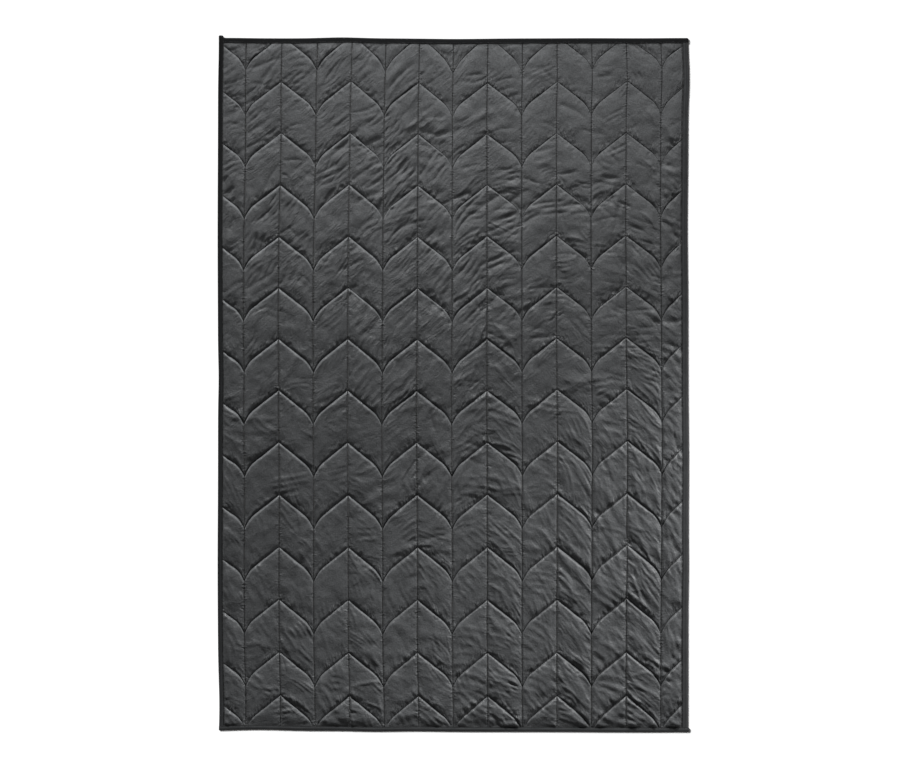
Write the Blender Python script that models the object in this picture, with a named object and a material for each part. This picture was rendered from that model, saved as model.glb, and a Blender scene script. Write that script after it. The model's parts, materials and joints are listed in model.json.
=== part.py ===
"""Weighted blanket, quilted in columns of leaf shapes and bound on all four edges.

It lies flat, face up, on z = 0. Metres. +X is its right side, +Y its head end, +Z up.
The quilt is one filled solid; each strip of binding is a folded tape with the quilt's edge inside.
"""
import math

import bmesh
import bpy

# ---- outline, over the binding ------------------------------------------------------------
HALF_WIDTH = 0.677
HALF_LENGTH = 0.9995

# ---- quilting seams -----------------------------------------------------------------------
PANEL = 0.100               # between two upright seams: half a leaf column
OUTER_SEAM = 0.600          # the outermost upright seams, left and right of the middle
ROW_PITCH = 0.150           # from one row of leaf tips to the next
HEAD_TIP = 1.005            # tips of the first row, which the head edge cuts off
SECOND_TIP = 0.873          # tips of the first row in full, sewn closer to the cut one
FULL_ROWS = 12              # rows at the full pitch, from the second one
FOOT_TIP = -0.901           # tips of the last row, sewn closer
LEAF_SLOPE = 0.79           # fall of a leaf's straight side for each metre across
LEAF_BEND_START = 0.068     # distance from the tip at which the side begins to bend down
LEAF_BEND_DROP = 0.021      # extra fall at the valley
LEAF_BEND_POWER = 2.7

# ---- thickness ----------------------------------------------------------------------------
SEAM_HEIGHT = 0.0036        # the cloth and fill pressed together in a seam
CROWN_HEIGHT = 0.0096       # the top of a filled pocket
SHOULDER = 0.036            # reach of a pocket's rounded shoulder from its seam
SHOULDER_POWER = 3.0
EDGE_BOTTOM = 0.0014        # the quilt's flat edge, inside the binding
EDGE_TOP = 0.0044
EDGE_SHOULDER = 0.026       # the quilt swells to full height over this width inside the binding
UNDERSIDE_RISE = 0.006      # width over which the underside lifts from the ground to the edge

# ---- binding ------------------------------------------------------------------------------
TAPE_WIDTH = {"head": 0.0142, "foot": 0.0120, "left": 0.0125, "right": 0.0140}
TAPE_HEIGHT = 0.0058
TAPE_CLOTH = 0.0011
TAPE_ROUND = 0.0030         # how far the folded outer edge is rounded
FOLD_CLOTH = 0.0016         # from the outer edge to the bottom of the slot
CLOSED_SLOT = 0.0010        # depth of the slot where no quilt lies in it
EDGE_INSET = 0.0024         # from the outer edge to the quilt's own edge
COVER_GAP = 0.0006          # flat stretch of quilt just past the tape
BUTT_GAP = 0.00035
TAPE_STEP = 0.046           # distance between the tape's sections
HEAD_PAST_RIGHT = 0.002     # how far a tape's end runs past the edge that it crosses
LEFT_PAST_HEAD = 0.007
FOOT_PAST_RIGHT = 0.005
SLOT_SLACK = 0.0006         # free slot past the quilt's corner
CLOSED_STEP = 0.0012        # the slot closes over this length
END_ROUNDING = ((0.0020, 0.97), (0.0008, 0.86), (0.0, 0.66))    # back from the end, squeeze

# Mesh lines from one seam to the next: across a panel in metres, down a row as a share of it
PANEL_STATIONS = (0.0, 0.012, 0.036, 0.064, 0.088)
ROW_STATIONS = (0.0, 0.09, 0.50, 0.91)
EDGE_STATION = 0.010        # one more, this far inside the binding
SNAP = 0.0028               # a mesh point this near a straight cut moves onto it

# Slow waves in the outline. place: along the edge. reach: half-width. push: towards the
# right on the left and right edges, towards the head on the head and foot edges.
EDGE_WAVES = (
    # edge, place, reach, push
    ("left", 0.985, 0.090, 0.0022),
    ("left", 0.430, 0.230, -0.0012),
    ("left", 0.020, 0.070, 0.0018),
    ("left", -0.520, 0.180, -0.0012),
    ("left", -0.930, 0.110, 0.0038),
    ("right", 0.885, 0.075, 0.0036),
    ("right", 0.460, 0.150, -0.0020),
    ("right", -0.240, 0.170, 0.0018),
    ("right", -0.520, 0.090, 0.0014),
    ("head", -0.660, 0.090, 0.0014),
    ("head", -0.320, 0.075, 0.0028),
    ("head", 0.010, 0.120, -0.0018),
    ("head", 0.400, 0.110, 0.0006),
    ("head", 0.680, 0.110, 0.0010),
    ("foot", -0.560, 0.150, 0.0058),
    ("foot", -0.330, 0.080, 0.0020),
    ("foot", -0.110, 0.090, 0.0016),
    ("foot", 0.560, 0.200, -0.0014),
)

# The sewn lines pull out of true in broad drifts: each is a bell of the given centre and reach
LEAN_AT_HEAD = 0.0092       # upright seams lean right towards the head, most left of the middle
LEAN_CENTRE_X = -0.350
LEAN_REACH_X = 0.220
LEAN_FADE_Y = 0.330
SPREAD = 0.006              # upright seams spread about the blanket's middle height
SPREAD_REACH_Y = 0.500
ROW_BOW = 0.011             # rows lie nearer the head about the middle of the length
ROW_BOW_CENTRE_Y = -0.160
ROW_BOW_REACH_Y = 0.480
ROW_TILT = 0.007            # and towards the right side
MARGIN_PULL = 0.008         # the right margin's rows are drawn up at the binding
HEAD_SAG = 0.010            # the cut row hangs lower about the middle of the width
HEAD_SAG_REACH_X = 0.320
HEAD_SAG_Y = 0.940
HEAD_SAG_REACH_Y = 0.050
WARP_FADE = 0.075           # inside the binding, over which the drifts come in

CLOTH_COLOUR = (0.068, 0.071, 0.075, 1.0)
TAPE_COLOURS = {
    "head": (0.022, 0.023, 0.025, 1.0),
    "foot": (0.062, 0.065, 0.068, 1.0),
    "left": (0.026, 0.027, 0.029, 1.0),
    "right": (0.060, 0.063, 0.066, 1.0),
}


def clear_scene():
    for thing in list(bpy.data.objects):
        bpy.data.objects.remove(thing, do_unlink=True)


def cloth_material(name, colour):
    material = bpy.data.materials.new(name)
    material.use_nodes = True
    shader = material.node_tree.nodes["Principled BSDF"]
    shader.inputs["Base Color"].default_value = colour
    shader.inputs["Roughness"].default_value = 0.85
    shader.inputs["Metallic"].default_value = 0.0
    material.diffuse_color = colour
    return material


def add_object(name, bm, material):
    bmesh.ops.recalc_face_normals(bm, faces=bm.faces)
    mesh = bpy.data.meshes.new(name)
    bm.to_mesh(mesh)
    bm.free()
    mesh.materials.append(material)
    mesh.shade_smooth()
    mesh.set_sharp_from_angle(angle=math.radians(40))
    thing = bpy.data.objects.new(name, mesh)
    bpy.context.collection.objects.link(thing)
    return thing


def bell(place, centre, reach):
    return math.exp(-(((place - centre) / reach) ** 2))


def smooth_step(value):
    value = min(max(value, 0.0), 1.0)
    return value * value * (3.0 - 2.0 * value)


# ---- outline ------------------------------------------------------------------------------
def edge_wave(edge, place):
    return sum(push * bell(place, centre, reach)
               for name, centre, reach, push in EDGE_WAVES if name == edge)


def edge_line(edge, place):
    """The outer edge's X (left, right) or Y (head, foot) at a place along it."""
    half = HALF_WIDTH if edge in ("left", "right") else HALF_LENGTH
    side = 1.0 if edge in ("right", "head") else -1.0
    return side * half + edge_wave(edge, place)


def cover_line(edge):
    """How far in from the outer edge the tape hides the quilt."""
    return TAPE_WIDTH[edge] + COVER_GAP


# ---- seams --------------------------------------------------------------------------------
def from_tip_line(x):
    """Distance across from the nearest upright seam that carries leaf tips."""
    phase = (x / PANEL + 1.0) % 2.0
    return PANEL * min(phase, 2.0 - phase)


def leaf_drop(x):
    """How far a leaf's side has fallen below its tip."""
    across = from_tip_line(x)
    bend = max(across - LEAF_BEND_START, 0.0) / (PANEL - LEAF_BEND_START)
    return LEAF_SLOPE * across + LEAF_BEND_DROP * bend ** LEAF_BEND_POWER


def tip_rows():
    """Heights of the rows of tips, with one past the head and one past the foot."""
    full = [SECOND_TIP - ROW_PITCH * row for row in range(FULL_ROWS)]
    return [HEAD_TIP + ROW_PITCH, HEAD_TIP] + full + [FOOT_TIP, FOOT_TIP - ROW_PITCH]


def shoulder(distance, reach, power=SHOULDER_POWER):
    return 1.0 - (1.0 - min(max(distance / reach, 0.0), 1.0)) ** power


def edge_distances(x, y):
    """Distances in from the four straight edges of the unwarped outline."""
    return {"left": x + HALF_WIDTH, "right": HALF_WIDTH - x,
            "head": HALF_LENGTH - y, "foot": y + HALF_LENGTH}


def face_height(x, y, tips):
    """Height of the quilt's upper face at a place on the unwarped quilt."""
    phase = (x + OUTER_SEAM) % PANEL
    across = min(phase, PANEL - phase)
    fall = leaf_drop(x)
    along = min(abs(y - (tip - fall)) for tip in tips)
    crown = CROWN_HEIGHT - SEAM_HEIGHT
    height = SEAM_HEIGHT + crown * shoulder(across, SHOULDER) * shoulder(along, SHOULDER)
    for edge, inward in edge_distances(x, y).items():
        swell = shoulder(inward - cover_line(edge), EDGE_SHOULDER, 2.0)
        height = EDGE_TOP + (height - EDGE_TOP) * swell
    return height


def warp(x, y):
    """Carries a place on the straight pattern to where it lies on the real, uneven quilt."""
    inward = {edge: distance - cover_line(edge) for edge, distance in edge_distances(x, y).items()}
    loose_x = smooth_step(inward["left"] / WARP_FADE) * smooth_step(inward["right"] / WARP_FADE)
    loose_y = smooth_step(inward["head"] / WARP_FADE) * smooth_step(inward["foot"] / WARP_FADE)
    lean = LEAN_AT_HEAD * bell(x, LEAN_CENTRE_X, LEAN_REACH_X) * math.exp((y - HALF_LENGTH) / LEAN_FADE_Y)
    spread = SPREAD * x * bell(y, 0.0, SPREAD_REACH_Y)
    bow = ROW_BOW * bell(y, ROW_BOW_CENTRE_Y, ROW_BOW_REACH_Y) * smooth_step(inward["left"] / WARP_FADE)
    sag = HEAD_SAG * bell(x, 0.0, HEAD_SAG_REACH_X) * bell(y, HEAD_SAG_Y, HEAD_SAG_REACH_Y)
    tilt = ROW_TILT * ((x + HALF_WIDTH) / (2.0 * HALF_WIDTH)) ** 2
    pull = MARGIN_PULL * max(x - OUTER_SEAM, 0.0) / (HALF_WIDTH - OUTER_SEAM)
    from_left = smooth_step(inward["left"] / (inward["left"] + inward["right"]))
    from_foot = smooth_step(inward["foot"] / (inward["foot"] + inward["head"]))
    side_x = edge_wave("left", y) * (1.0 - from_left) + edge_wave("right", y) * from_left
    side_y = edge_wave("foot", x) * (1.0 - from_foot) + edge_wave("head", x) * from_foot
    return x + side_x + loose_x * (lean + spread), y + side_y + loose_y * (bow + tilt + pull - sag)


# ---- quilt --------------------------------------------------------------------------------
def column_places():
    """X of the mesh's upright lines: the seams, and the lines between them."""
    margin = PANEL_STATIONS[1:3]
    left = [EDGE_INSET - HALF_WIDTH]
    left += [cover_line("left") + step - HALF_WIDTH for step in (0.0, EDGE_STATION)]
    left += [-OUTER_SEAM - station for station in reversed(margin)]
    middle = [-OUTER_SEAM + panel * PANEL + station
              for panel in range(round(2.0 * OUTER_SEAM / PANEL)) for station in PANEL_STATIONS]
    right = [OUTER_SEAM] + [OUTER_SEAM + station for station in margin]
    right += [HALF_WIDTH - cover_line("right") - step for step in (EDGE_STATION, 0.0)]
    return left + middle + right + [HALF_WIDTH - EDGE_INSET]


def row_places(tips):
    """Y, on a line of tips, of the mesh's rows: the leaf seams, and the rows between them."""
    places = []
    for upper, lower in zip(tips, tips[1:]):
        places += [upper + (lower - upper) * station for station in ROW_STATIONS]
    return places + [tips[-1]]


def cut_across(bm, y, side):
    """Draws a straight mesh line at y. A side of +1 or -1 also removes what lies past it."""
    for vert in bm.verts:
        if abs(vert.co.y - y) < SNAP:
            vert.co.y = y
    geometry = list(bm.verts) + list(bm.edges) + list(bm.faces)
    bmesh.ops.bisect_plane(bm, geom=geometry, dist=1e-5, plane_co=(0.0, y, 0.0),
                           plane_no=(0.0, 1.0, 0.0), clear_outer=side > 0, clear_inner=side < 0)


def grow_rim(bm, insets, height):
    """Carries the open rim in to a ring at its distances from the four edges, at one height."""
    rim = [edge for edge in bm.edges if edge.is_boundary]
    bmesh.ops.extrude_edge_only(bm, edges=rim)
    ring = {vert for edge in bm.edges if edge.is_boundary for vert in edge.verts}
    for vert in ring:
        vert.co.x = min(max(vert.co.x, -HALF_WIDTH + insets["left"]), HALF_WIDTH - insets["right"])
        vert.co.y = min(max(vert.co.y, -HALF_LENGTH + insets["foot"]), HALF_LENGTH - insets["head"])
        vert.co.z = height
    bmesh.ops.remove_doubles(bm, verts=list(ring), dist=1e-4)


def build_quilt():
    """The filled body: face, flat edge inside the binding, and underside flat on the ground."""
    tips = tip_rows()
    columns = column_places()
    rows = row_places(tips)
    bm = bmesh.new()
    grid = [[bm.verts.new((x, y - leaf_drop(x), 0.0)) for y in rows] for x in columns]
    for left, right in zip(grid, grid[1:]):
        for step in range(len(rows) - 1):
            bm.faces.new((left[step], left[step + 1], right[step + 1], right[step]))

    cut_across(bm, HALF_LENGTH - EDGE_INSET, 1)
    cut_across(bm, -HALF_LENGTH + EDGE_INSET, -1)
    for inward in (0.0, EDGE_STATION):
        cut_across(bm, HALF_LENGTH - cover_line("head") - inward, 0)
        cut_across(bm, -HALF_LENGTH + cover_line("foot") + inward, 0)
    for vert in bm.verts:
        vert.co.z = face_height(vert.co.x, vert.co.y, tips)

    grow_rim(bm, dict.fromkeys(TAPE_WIDTH, EDGE_INSET), EDGE_BOTTOM)
    grow_rim(bm, {edge: cover_line(edge) for edge in TAPE_WIDTH}, EDGE_BOTTOM)
    grow_rim(bm, {edge: cover_line(edge) + UNDERSIDE_RISE for edge in TAPE_WIDTH}, 0.0)
    bmesh.ops.edgeloop_fill(bm, edges=[edge for edge in bm.edges if edge.is_boundary])
    for vert in bm.verts:
        vert.co.x, vert.co.y = warp(vert.co.x, vert.co.y)
    bmesh.ops.triangulate(bm, faces=bm.faces, quad_method="SHORT_EDGE", ngon_method="BEAUTY")
    return add_object("quilt", bm, cloth_material("quilt_cloth", CLOTH_COLOUR))


# ---- binding ------------------------------------------------------------------------------
def tape_section(edge, slot_depth, squeeze):
    """Cross-section of the folded tape: distance in from its outer edge, and height."""
    width = TAPE_WIDTH[edge]
    slot_end = width - slot_depth
    middle = TAPE_HEIGHT / 2.0
    corner_in, corner_up = 0.3 * TAPE_ROUND, 0.14 * TAPE_HEIGHT
    points = [
        (width, TAPE_HEIGHT), (TAPE_ROUND, TAPE_HEIGHT), (corner_in, TAPE_HEIGHT - corner_up),
        (0.0, middle), (corner_in, corner_up), (TAPE_ROUND, 0.0), (width, 0.0),
        (width, TAPE_CLOTH), (slot_end, TAPE_CLOTH),
        (slot_end, TAPE_HEIGHT - TAPE_CLOTH), (width, TAPE_HEIGHT - TAPE_CLOTH),
    ]
    return [(width / 2.0 + (inward - width / 2.0) * squeeze, middle + (height - middle) * squeeze)
            for inward, height in points]


def tape_place(edge, along, inward):
    """X and Y of a place on a tape."""
    line = edge_line(edge, along)
    if edge in ("left", "right"):
        return line + (inward if edge == "left" else -inward), along
    return along, line + (inward if edge == "foot" else -inward)


def quilt_reach(edge):
    """Where the quilt's own edge begins and ends along one side."""
    low, high = ("foot", "head") if edge in ("left", "right") else ("left", "right")
    half = HALF_WIDTH if edge in ("left", "right") else HALF_LENGTH
    corner = -half if edge in ("left", "foot") else half
    return edge_line(low, corner) + EDGE_INSET, edge_line(high, corner) - EDGE_INSET


def closed_end(end, slot_at, rounded):
    """Sections of a tape's end past the quilt, from the slot outwards: place and squeeze."""
    outward = 1.0 if end > slot_at else -1.0
    sections = [(slot_at + outward * CLOSED_STEP, 1.0)]
    if rounded:
        sections += [(end - outward * back, squeeze) for back, squeeze in END_ROUNDING]
    else:
        sections.append((end, 1.0))
    return sections


def build_tape(edge, first, last, round_last):
    """A folded tape along one edge. Its slot is deep only where the quilt's edge lies in it."""
    low, high = quilt_reach(edge)
    open_from, open_to = max(first, low - SLOT_SLACK), min(last, high + SLOT_SLACK)
    depth = TAPE_WIDTH[edge] - FOLD_CLOTH
    count = math.ceil((open_to - open_from) / TAPE_STEP)
    sections = [(open_from + (open_to - open_from) * step / count, depth, 1.0) for step in range(count + 1)]
    if first < open_from:
        ends = closed_end(first, open_from, False)
        sections = [(place, CLOSED_SLOT, squeeze) for place, squeeze in reversed(ends)] + sections
    if last > open_to:
        ends = closed_end(last, open_to, round_last)
        sections += [(place, CLOSED_SLOT, squeeze) for place, squeeze in ends]

    bm = bmesh.new()
    rings = []
    for place, slot_depth, squeeze in reversed(sections):
        ring = []
        for inward, height in tape_section(edge, slot_depth, squeeze):
            x, y = tape_place(edge, place, inward)
            ring.append(bm.verts.new((x, y, height)))
        rings.append(ring)
    for ring, after in zip(rings, rings[1:]):
        for side in range(len(ring)):
            other = (side + 1) % len(ring)
            bm.faces.new((ring[side], ring[other], after[other], after[side]))
    bm.faces.new(rings[0])
    bm.faces.new(rings[-1])
    bmesh.ops.triangulate(bm, faces=bm.faces, quad_method="SHORT_EDGE", ngon_method="BEAUTY")
    return add_object("binding_" + edge, bm, cloth_material("tape_" + edge, TAPE_COLOURS[edge]))


def build_binding():
    """Left over head, head over right, foot over left and right, as the corners are lapped."""
    left_tape = -HALF_WIDTH + 0.5 * TAPE_WIDTH["left"]
    right_tape = HALF_WIDTH - 0.5 * TAPE_WIDTH["right"]
    head_tape = HALF_LENGTH - 0.5 * TAPE_WIDTH["head"]
    foot_tape = -HALF_LENGTH + 0.5 * TAPE_WIDTH["foot"]
    over_foot = TAPE_WIDTH["foot"] + BUTT_GAP
    ends = (
        ("left", edge_line("foot", left_tape) + over_foot,
         edge_line("head", left_tape) + LEFT_PAST_HEAD, True),
        ("right", edge_line("foot", right_tape) + over_foot,
         edge_line("head", right_tape) - TAPE_WIDTH["head"] - BUTT_GAP, False),
        ("head", edge_line("left", head_tape) + TAPE_WIDTH["left"] + BUTT_GAP,
         edge_line("right", head_tape) + HEAD_PAST_RIGHT, True),
        ("foot", edge_line("left", foot_tape), edge_line("right", foot_tape) + FOOT_PAST_RIGHT, True),
    )
    return [build_tape(edge, first, last, round_last) for edge, first, last, round_last in ends]


def centre_on_origin(things):
    """Puts the middle of the whole blanket's underside on the origin."""
    corners = [vert.co.copy() for thing in things for vert in thing.data.vertices]
    middle_x = (min(co.x for co in corners) + max(co.x for co in corners)) / 2.0
    middle_y = (min(co.y for co in corners) + max(co.y for co in corners)) / 2.0
    for thing in things:
        for vert in thing.data.vertices:
            vert.co.x -= middle_x
            vert.co.y -= middle_y


clear_scene()
quilt = build_quilt()
centre_on_origin([quilt] + build_binding())
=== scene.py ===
"""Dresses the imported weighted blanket: quilted cloth with its creases, stitches, folded binding.

Metres, +X the blanket's right side, +Y its head end, +Z up; it lies face up on z = 0.
The seams run on a straight pattern (u, v), which warp() carries to the real, uneven blanket.
"""
import json
import math

import bmesh
import bpy
import numpy as np
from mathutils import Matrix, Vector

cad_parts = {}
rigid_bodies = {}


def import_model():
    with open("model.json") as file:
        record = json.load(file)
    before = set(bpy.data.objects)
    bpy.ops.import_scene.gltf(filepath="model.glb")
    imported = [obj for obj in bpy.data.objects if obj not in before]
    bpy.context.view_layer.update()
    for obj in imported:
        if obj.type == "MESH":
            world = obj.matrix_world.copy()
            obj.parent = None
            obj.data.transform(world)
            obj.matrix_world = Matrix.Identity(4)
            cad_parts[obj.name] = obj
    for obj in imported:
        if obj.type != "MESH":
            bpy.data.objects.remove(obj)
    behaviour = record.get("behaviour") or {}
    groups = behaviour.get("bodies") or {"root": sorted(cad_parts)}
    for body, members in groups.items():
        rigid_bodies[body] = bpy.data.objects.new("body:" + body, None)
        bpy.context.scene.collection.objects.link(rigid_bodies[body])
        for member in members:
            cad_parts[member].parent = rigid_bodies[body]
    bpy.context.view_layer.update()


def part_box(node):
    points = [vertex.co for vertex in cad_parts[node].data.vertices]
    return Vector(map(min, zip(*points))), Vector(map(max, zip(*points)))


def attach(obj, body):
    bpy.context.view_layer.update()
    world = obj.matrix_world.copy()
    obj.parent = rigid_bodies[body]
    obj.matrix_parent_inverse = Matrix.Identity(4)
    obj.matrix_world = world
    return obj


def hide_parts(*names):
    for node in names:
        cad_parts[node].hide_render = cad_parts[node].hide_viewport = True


MM = 0.001

# ---- outline and seams: lengths and widths are the solids' own ------------------------------
HALF_WIDTH = 0.677
HALF_LENGTH = 0.9995
PANEL = 0.100               # between two upright seams: half a leaf column
OUTER_SEAM = 0.600          # the outermost upright seams, left and right of the middle
ROW_PITCH = 0.150           # from one row of leaf tips to the next
HEAD_TIP = 1.005            # tips of the first row, which the head edge cuts off
SECOND_TIP = 0.873          # tips of the first row in full, sewn closer to the cut one
FULL_ROWS = 12              # rows at the full pitch, from the second one
FOOT_TIP = -0.901           # tips of the last row, sewn closer
LEAF_SLOPE = 0.79           # fall of a leaf's straight side for each metre across
LEAF_BEND_START = 0.068     # distance from the tip at which the side begins to bend down
LEAF_BEND_DROP = 0.021      # extra fall at the valley
LEAF_BEND_POWER = 2.7

SEAM_HEIGHT = 0.0032        # the cloth and fill pressed together in a seam
CROWN_HEIGHT = 0.0102       # the top of a well-filled pocket
EDGE_BOTTOM = 0.0014        # the quilt's flat edge, inside the binding
EDGE_TOP = 0.0044
# The quilt swells to its full height over this width inside each tape
EDGE_SHOULDERS = {"head": 0.024, "foot": 0.050, "left": 0.024, "right": 0.024}

TAPE_WIDTH = {"head": 0.0142, "foot": 0.0120, "left": 0.0125, "right": 0.0140}
TAPE_HEIGHT = 0.0058
TAPE_CLOTH = 0.0011
TAPE_ROUND = 0.0030         # how far the folded outer edge is rounded
FOLD_CLOTH = 0.0016         # from the outer edge to the bottom of the slot for the quilt
CLOSED_SLOT = 0.0010        # depth of the slot where no quilt lies in it
EDGE_INSET = 0.0024         # from the outer edge to the quilt's own edge
COVER_GAP = 0.0006          # flat stretch of quilt just past the tape
BUTT_GAP = 0.00035
HEAD_PAST_RIGHT = 0.002     # how far a tape's end runs past the edge that it crosses
LEFT_PAST_HEAD = 0.007
FOOT_PAST_RIGHT = 0.005
SLOT_SLACK = 0.0006         # free slot past the quilt's corner
CLOSED_STEP = 0.0012        # the slot closes over this length
END_ROUNDING = ((0.0020, 0.97), (0.0008, 0.86), (0.0, 0.66))    # back from the end, squeeze

# Slow waves in the outline. push: towards the right on the left and right edges, towards
# the head on the head and foot edges.
EDGE_WAVES = (
    # edge, place, reach, push
    ("left", 0.985, 0.090, 0.0022),
    ("left", 0.430, 0.230, -0.0012),
    ("left", 0.020, 0.070, 0.0018),
    ("left", -0.520, 0.180, -0.0012),
    ("left", -0.930, 0.110, 0.0038),
    ("right", 0.885, 0.075, 0.0036),
    ("right", 0.460, 0.150, -0.0020),
    ("right", -0.240, 0.170, 0.0018),
    ("right", -0.520, 0.090, 0.0014),
    ("head", -0.660, 0.090, 0.0014),
    ("head", -0.320, 0.075, 0.0028),
    ("head", 0.010, 0.120, -0.0018),
    ("head", 0.400, 0.110, 0.0006),
    ("head", 0.680, 0.110, 0.0010),
    ("foot", -0.560, 0.150, 0.0058),
    ("foot", -0.330, 0.080, 0.0020),
    ("foot", -0.110, 0.090, 0.0016),
    ("foot", 0.560, 0.200, -0.0014),
)

# The sewn lines pull out of true in broad drifts, as the solids' channels do
LEAN_AT_HEAD = 0.0092
LEAN_CENTRE_X = -0.350
LEAN_REACH_X = 0.220
LEAN_FADE_Y = 0.330
SPREAD = 0.006
SPREAD_REACH_Y = 0.500
ROW_BOW = 0.011
ROW_BOW_CENTRE_Y = -0.160
ROW_BOW_REACH_Y = 0.480
ROW_TILT = 0.007
MARGIN_PULL = 0.008
HEAD_SAG = 0.010
HEAD_SAG_REACH_X = 0.320
HEAD_SAG_Y = 0.940
HEAD_SAG_REACH_Y = 0.050
WARP_FADE = 0.075
SEAM_PULLS = (
    # x, y, reach, push_x, push_y     (mm): smaller drifts, which the solids don't have
    (-120, -120, 320, -4.2, -2.8),
    (-520, -300, 260, 3.0, -3.0),
    (430, 130, 200, -2.4, 0.6),
    (490, -550, 110, 0.6, 6.0),
    (-500, 670, 170, 3.6, 2.4),
    (150, 480, 170, 0.6, 2.2),
    (120, 890, 240, -2.4, -3.0),
    (-100, -760, 150, -2.2, 0.0),
    (480, 800, 120, 0.0, -2.6),
)

# ---- mesh -----------------------------------------------------------------------------------
SEAM_LINES = (0.0014, 0.0031, 0.0049, 0.0072)   # mesh lines beside an upright seam
OPEN_STEP = 0.0029          # and their spacing in a pocket
LEAF_LINES = 1.27           # along Y, beside a leaf seam, they lie this many times as far apart
BACK_STRIDE = 4             # the underside takes every fourth mesh line
SNAP = 0.0009               # mesh points this close to the head or foot edge lie on it
CLOTH_SHARP_FROM = 65.0     # degrees between two faces from which their edge is sharp
TAPE_SHARP_FROM = 48.0
PIECE_SEAMS = (-0.300, 0.000, 0.300)    # the quilt's mesh is cut into pieces under these seams

# Where the face's cloth changes, beside the seams and the tapes: painted shade in the seam channels and
# beside the tapes, and a painted highlight under the leaf seams
ON_SEAM = 0.0002            # mesh points this close to a seam lie on it
UNDER_SEAM = 0.0014         # faces whose middle is this close under a leaf seam keep the open cloth, without the seam's painted shade
BESIDE_TAPE = 0.0012        # along the left and right tapes the cloth gets the upright seam's crushed pile and painted shade
PAINTED_HIGHLIGHT_REACH = 0.0095       # the painted highlight under a leaf seam reaches this far
PAINTED_HIGHLIGHT_EDGE = 0.0045        # and fades over this much of it
END_PAINTED_SHADE_REACH = 0.004      # painted shade beside the head and foot tapes reaches this far
GATHER_ABOVE_LEAF = 0.016   # how far from a seam its stitches gather the cloth
GATHER_UNDER_LEAF = 0.010
GATHER_UPRIGHT = 0.009

# ---- pockets --------------------------------------------------------------------------------
# How the cloth swells away from a seam: a tight roll beside it, then a slow shoulder
POCKET_SIDES = (
    # reach of the roll, its share of the crown, reach of the shoulder; share of the creases'
    # height that is left at the seam, and how far from it they are whole
    (0.0040, 0.54, 0.030, 0.30, 0.007),     # beside an upright seam
    (0.0050, 0.70, 0.026, 0.12, 0.007),     # under the leaf seam above the pocket
    (0.0078, 0.36, 0.056, 0.12, 0.006),     # over the leaf seam below it
)
ROLL_POWER = 1.6
SHOULDER_POWER = 2.0
GROOVE_DEPTH = 0.0014       # the stitches pull a narrow groove into the channel
GROOVE_REACH = 0.0017

# How tightly the pockets are filled: 1 stands steeply off its seams, 0 lies slack
FILLINGS = (
    # x, y, reach, filling
    (-0.50, 0.95, 0.22, 0.90),
    (0.00, 0.95, 0.28, 0.35),
    (0.50, 0.95, 0.28, -0.08),
    (-0.45, 0.70, 0.25, 1.10),
    (0.10, 0.70, 0.25, 0.75),
    (0.55, 0.70, 0.25, 0.05),
    (-0.45, 0.42, 0.25, 1.25),
    (0.10, 0.42, 0.25, 0.90),
    (0.55, 0.42, 0.25, 0.55),
    (-0.40, 0.00, 0.40, 1.35),
    (0.45, 0.00, 0.40, 0.85),
    (-0.50, -0.75, 0.35, 0.80),
    (0.40, -0.75, 0.40, 1.00),
)
LEAST_HEIGHT = 0.0022       # no trough reaches down to the underside
HIGH_FROM = 0.0120          # above this the ridges rise only half as far
MOST_HEIGHT = 0.0185
SLACK_SHARE = 0.80          # of the crown, where the filling is 0
FULL_SHARE = 0.25           # and added to it where the filling is 1
UNDER_RISE = 0.0012         # the underside's channels
UNDER_REACH = 0.014
UNDER_SHOULDER = 0.010      # and its slope to the binding
CREASES_IN = 0.006          # creases are whole this far in from the binding

LUMPS = (
    # seed, finest and coarsest wavelength, height: the fill's unevenness and the nap's dents
    (11, 0.045, 0.110, 0.00050),
    (12, 0.016, 0.034, 0.00016),
    (13, 0.006, 0.012, 0.00005),
)
FIELD_STEP = 0.0016         # grid on which creases are drawn
FIELD_MARGIN = 0.01
STROKE_TAPER = 2.4          # how late a crease fades towards its ends
STROKE_ROUND = 1.35         # 1 is a sharp crest, 2 a round one
RIDGE_GAIN = 1.9
TROUGH_GAIN = 0.65
HEAD_GAIN = 2.0             # troughs are this much deeper again at the head end
HEAD_GAIN_FROM = -0.1       # y from which they deepen
HEAD_GAIN_REACH = 0.7
HEAD_SLIMNESS = 0.80        # share of its drawn breadth that a crease has in the head half
FOOT_SLIMNESS = 0.68
CREASE_LIMIT = 1.9          # mm: in the foot half the drawn heights level off towards this
SHEAF_FADE = 0.10           # each crease of a row is this much smaller than the one before
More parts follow.
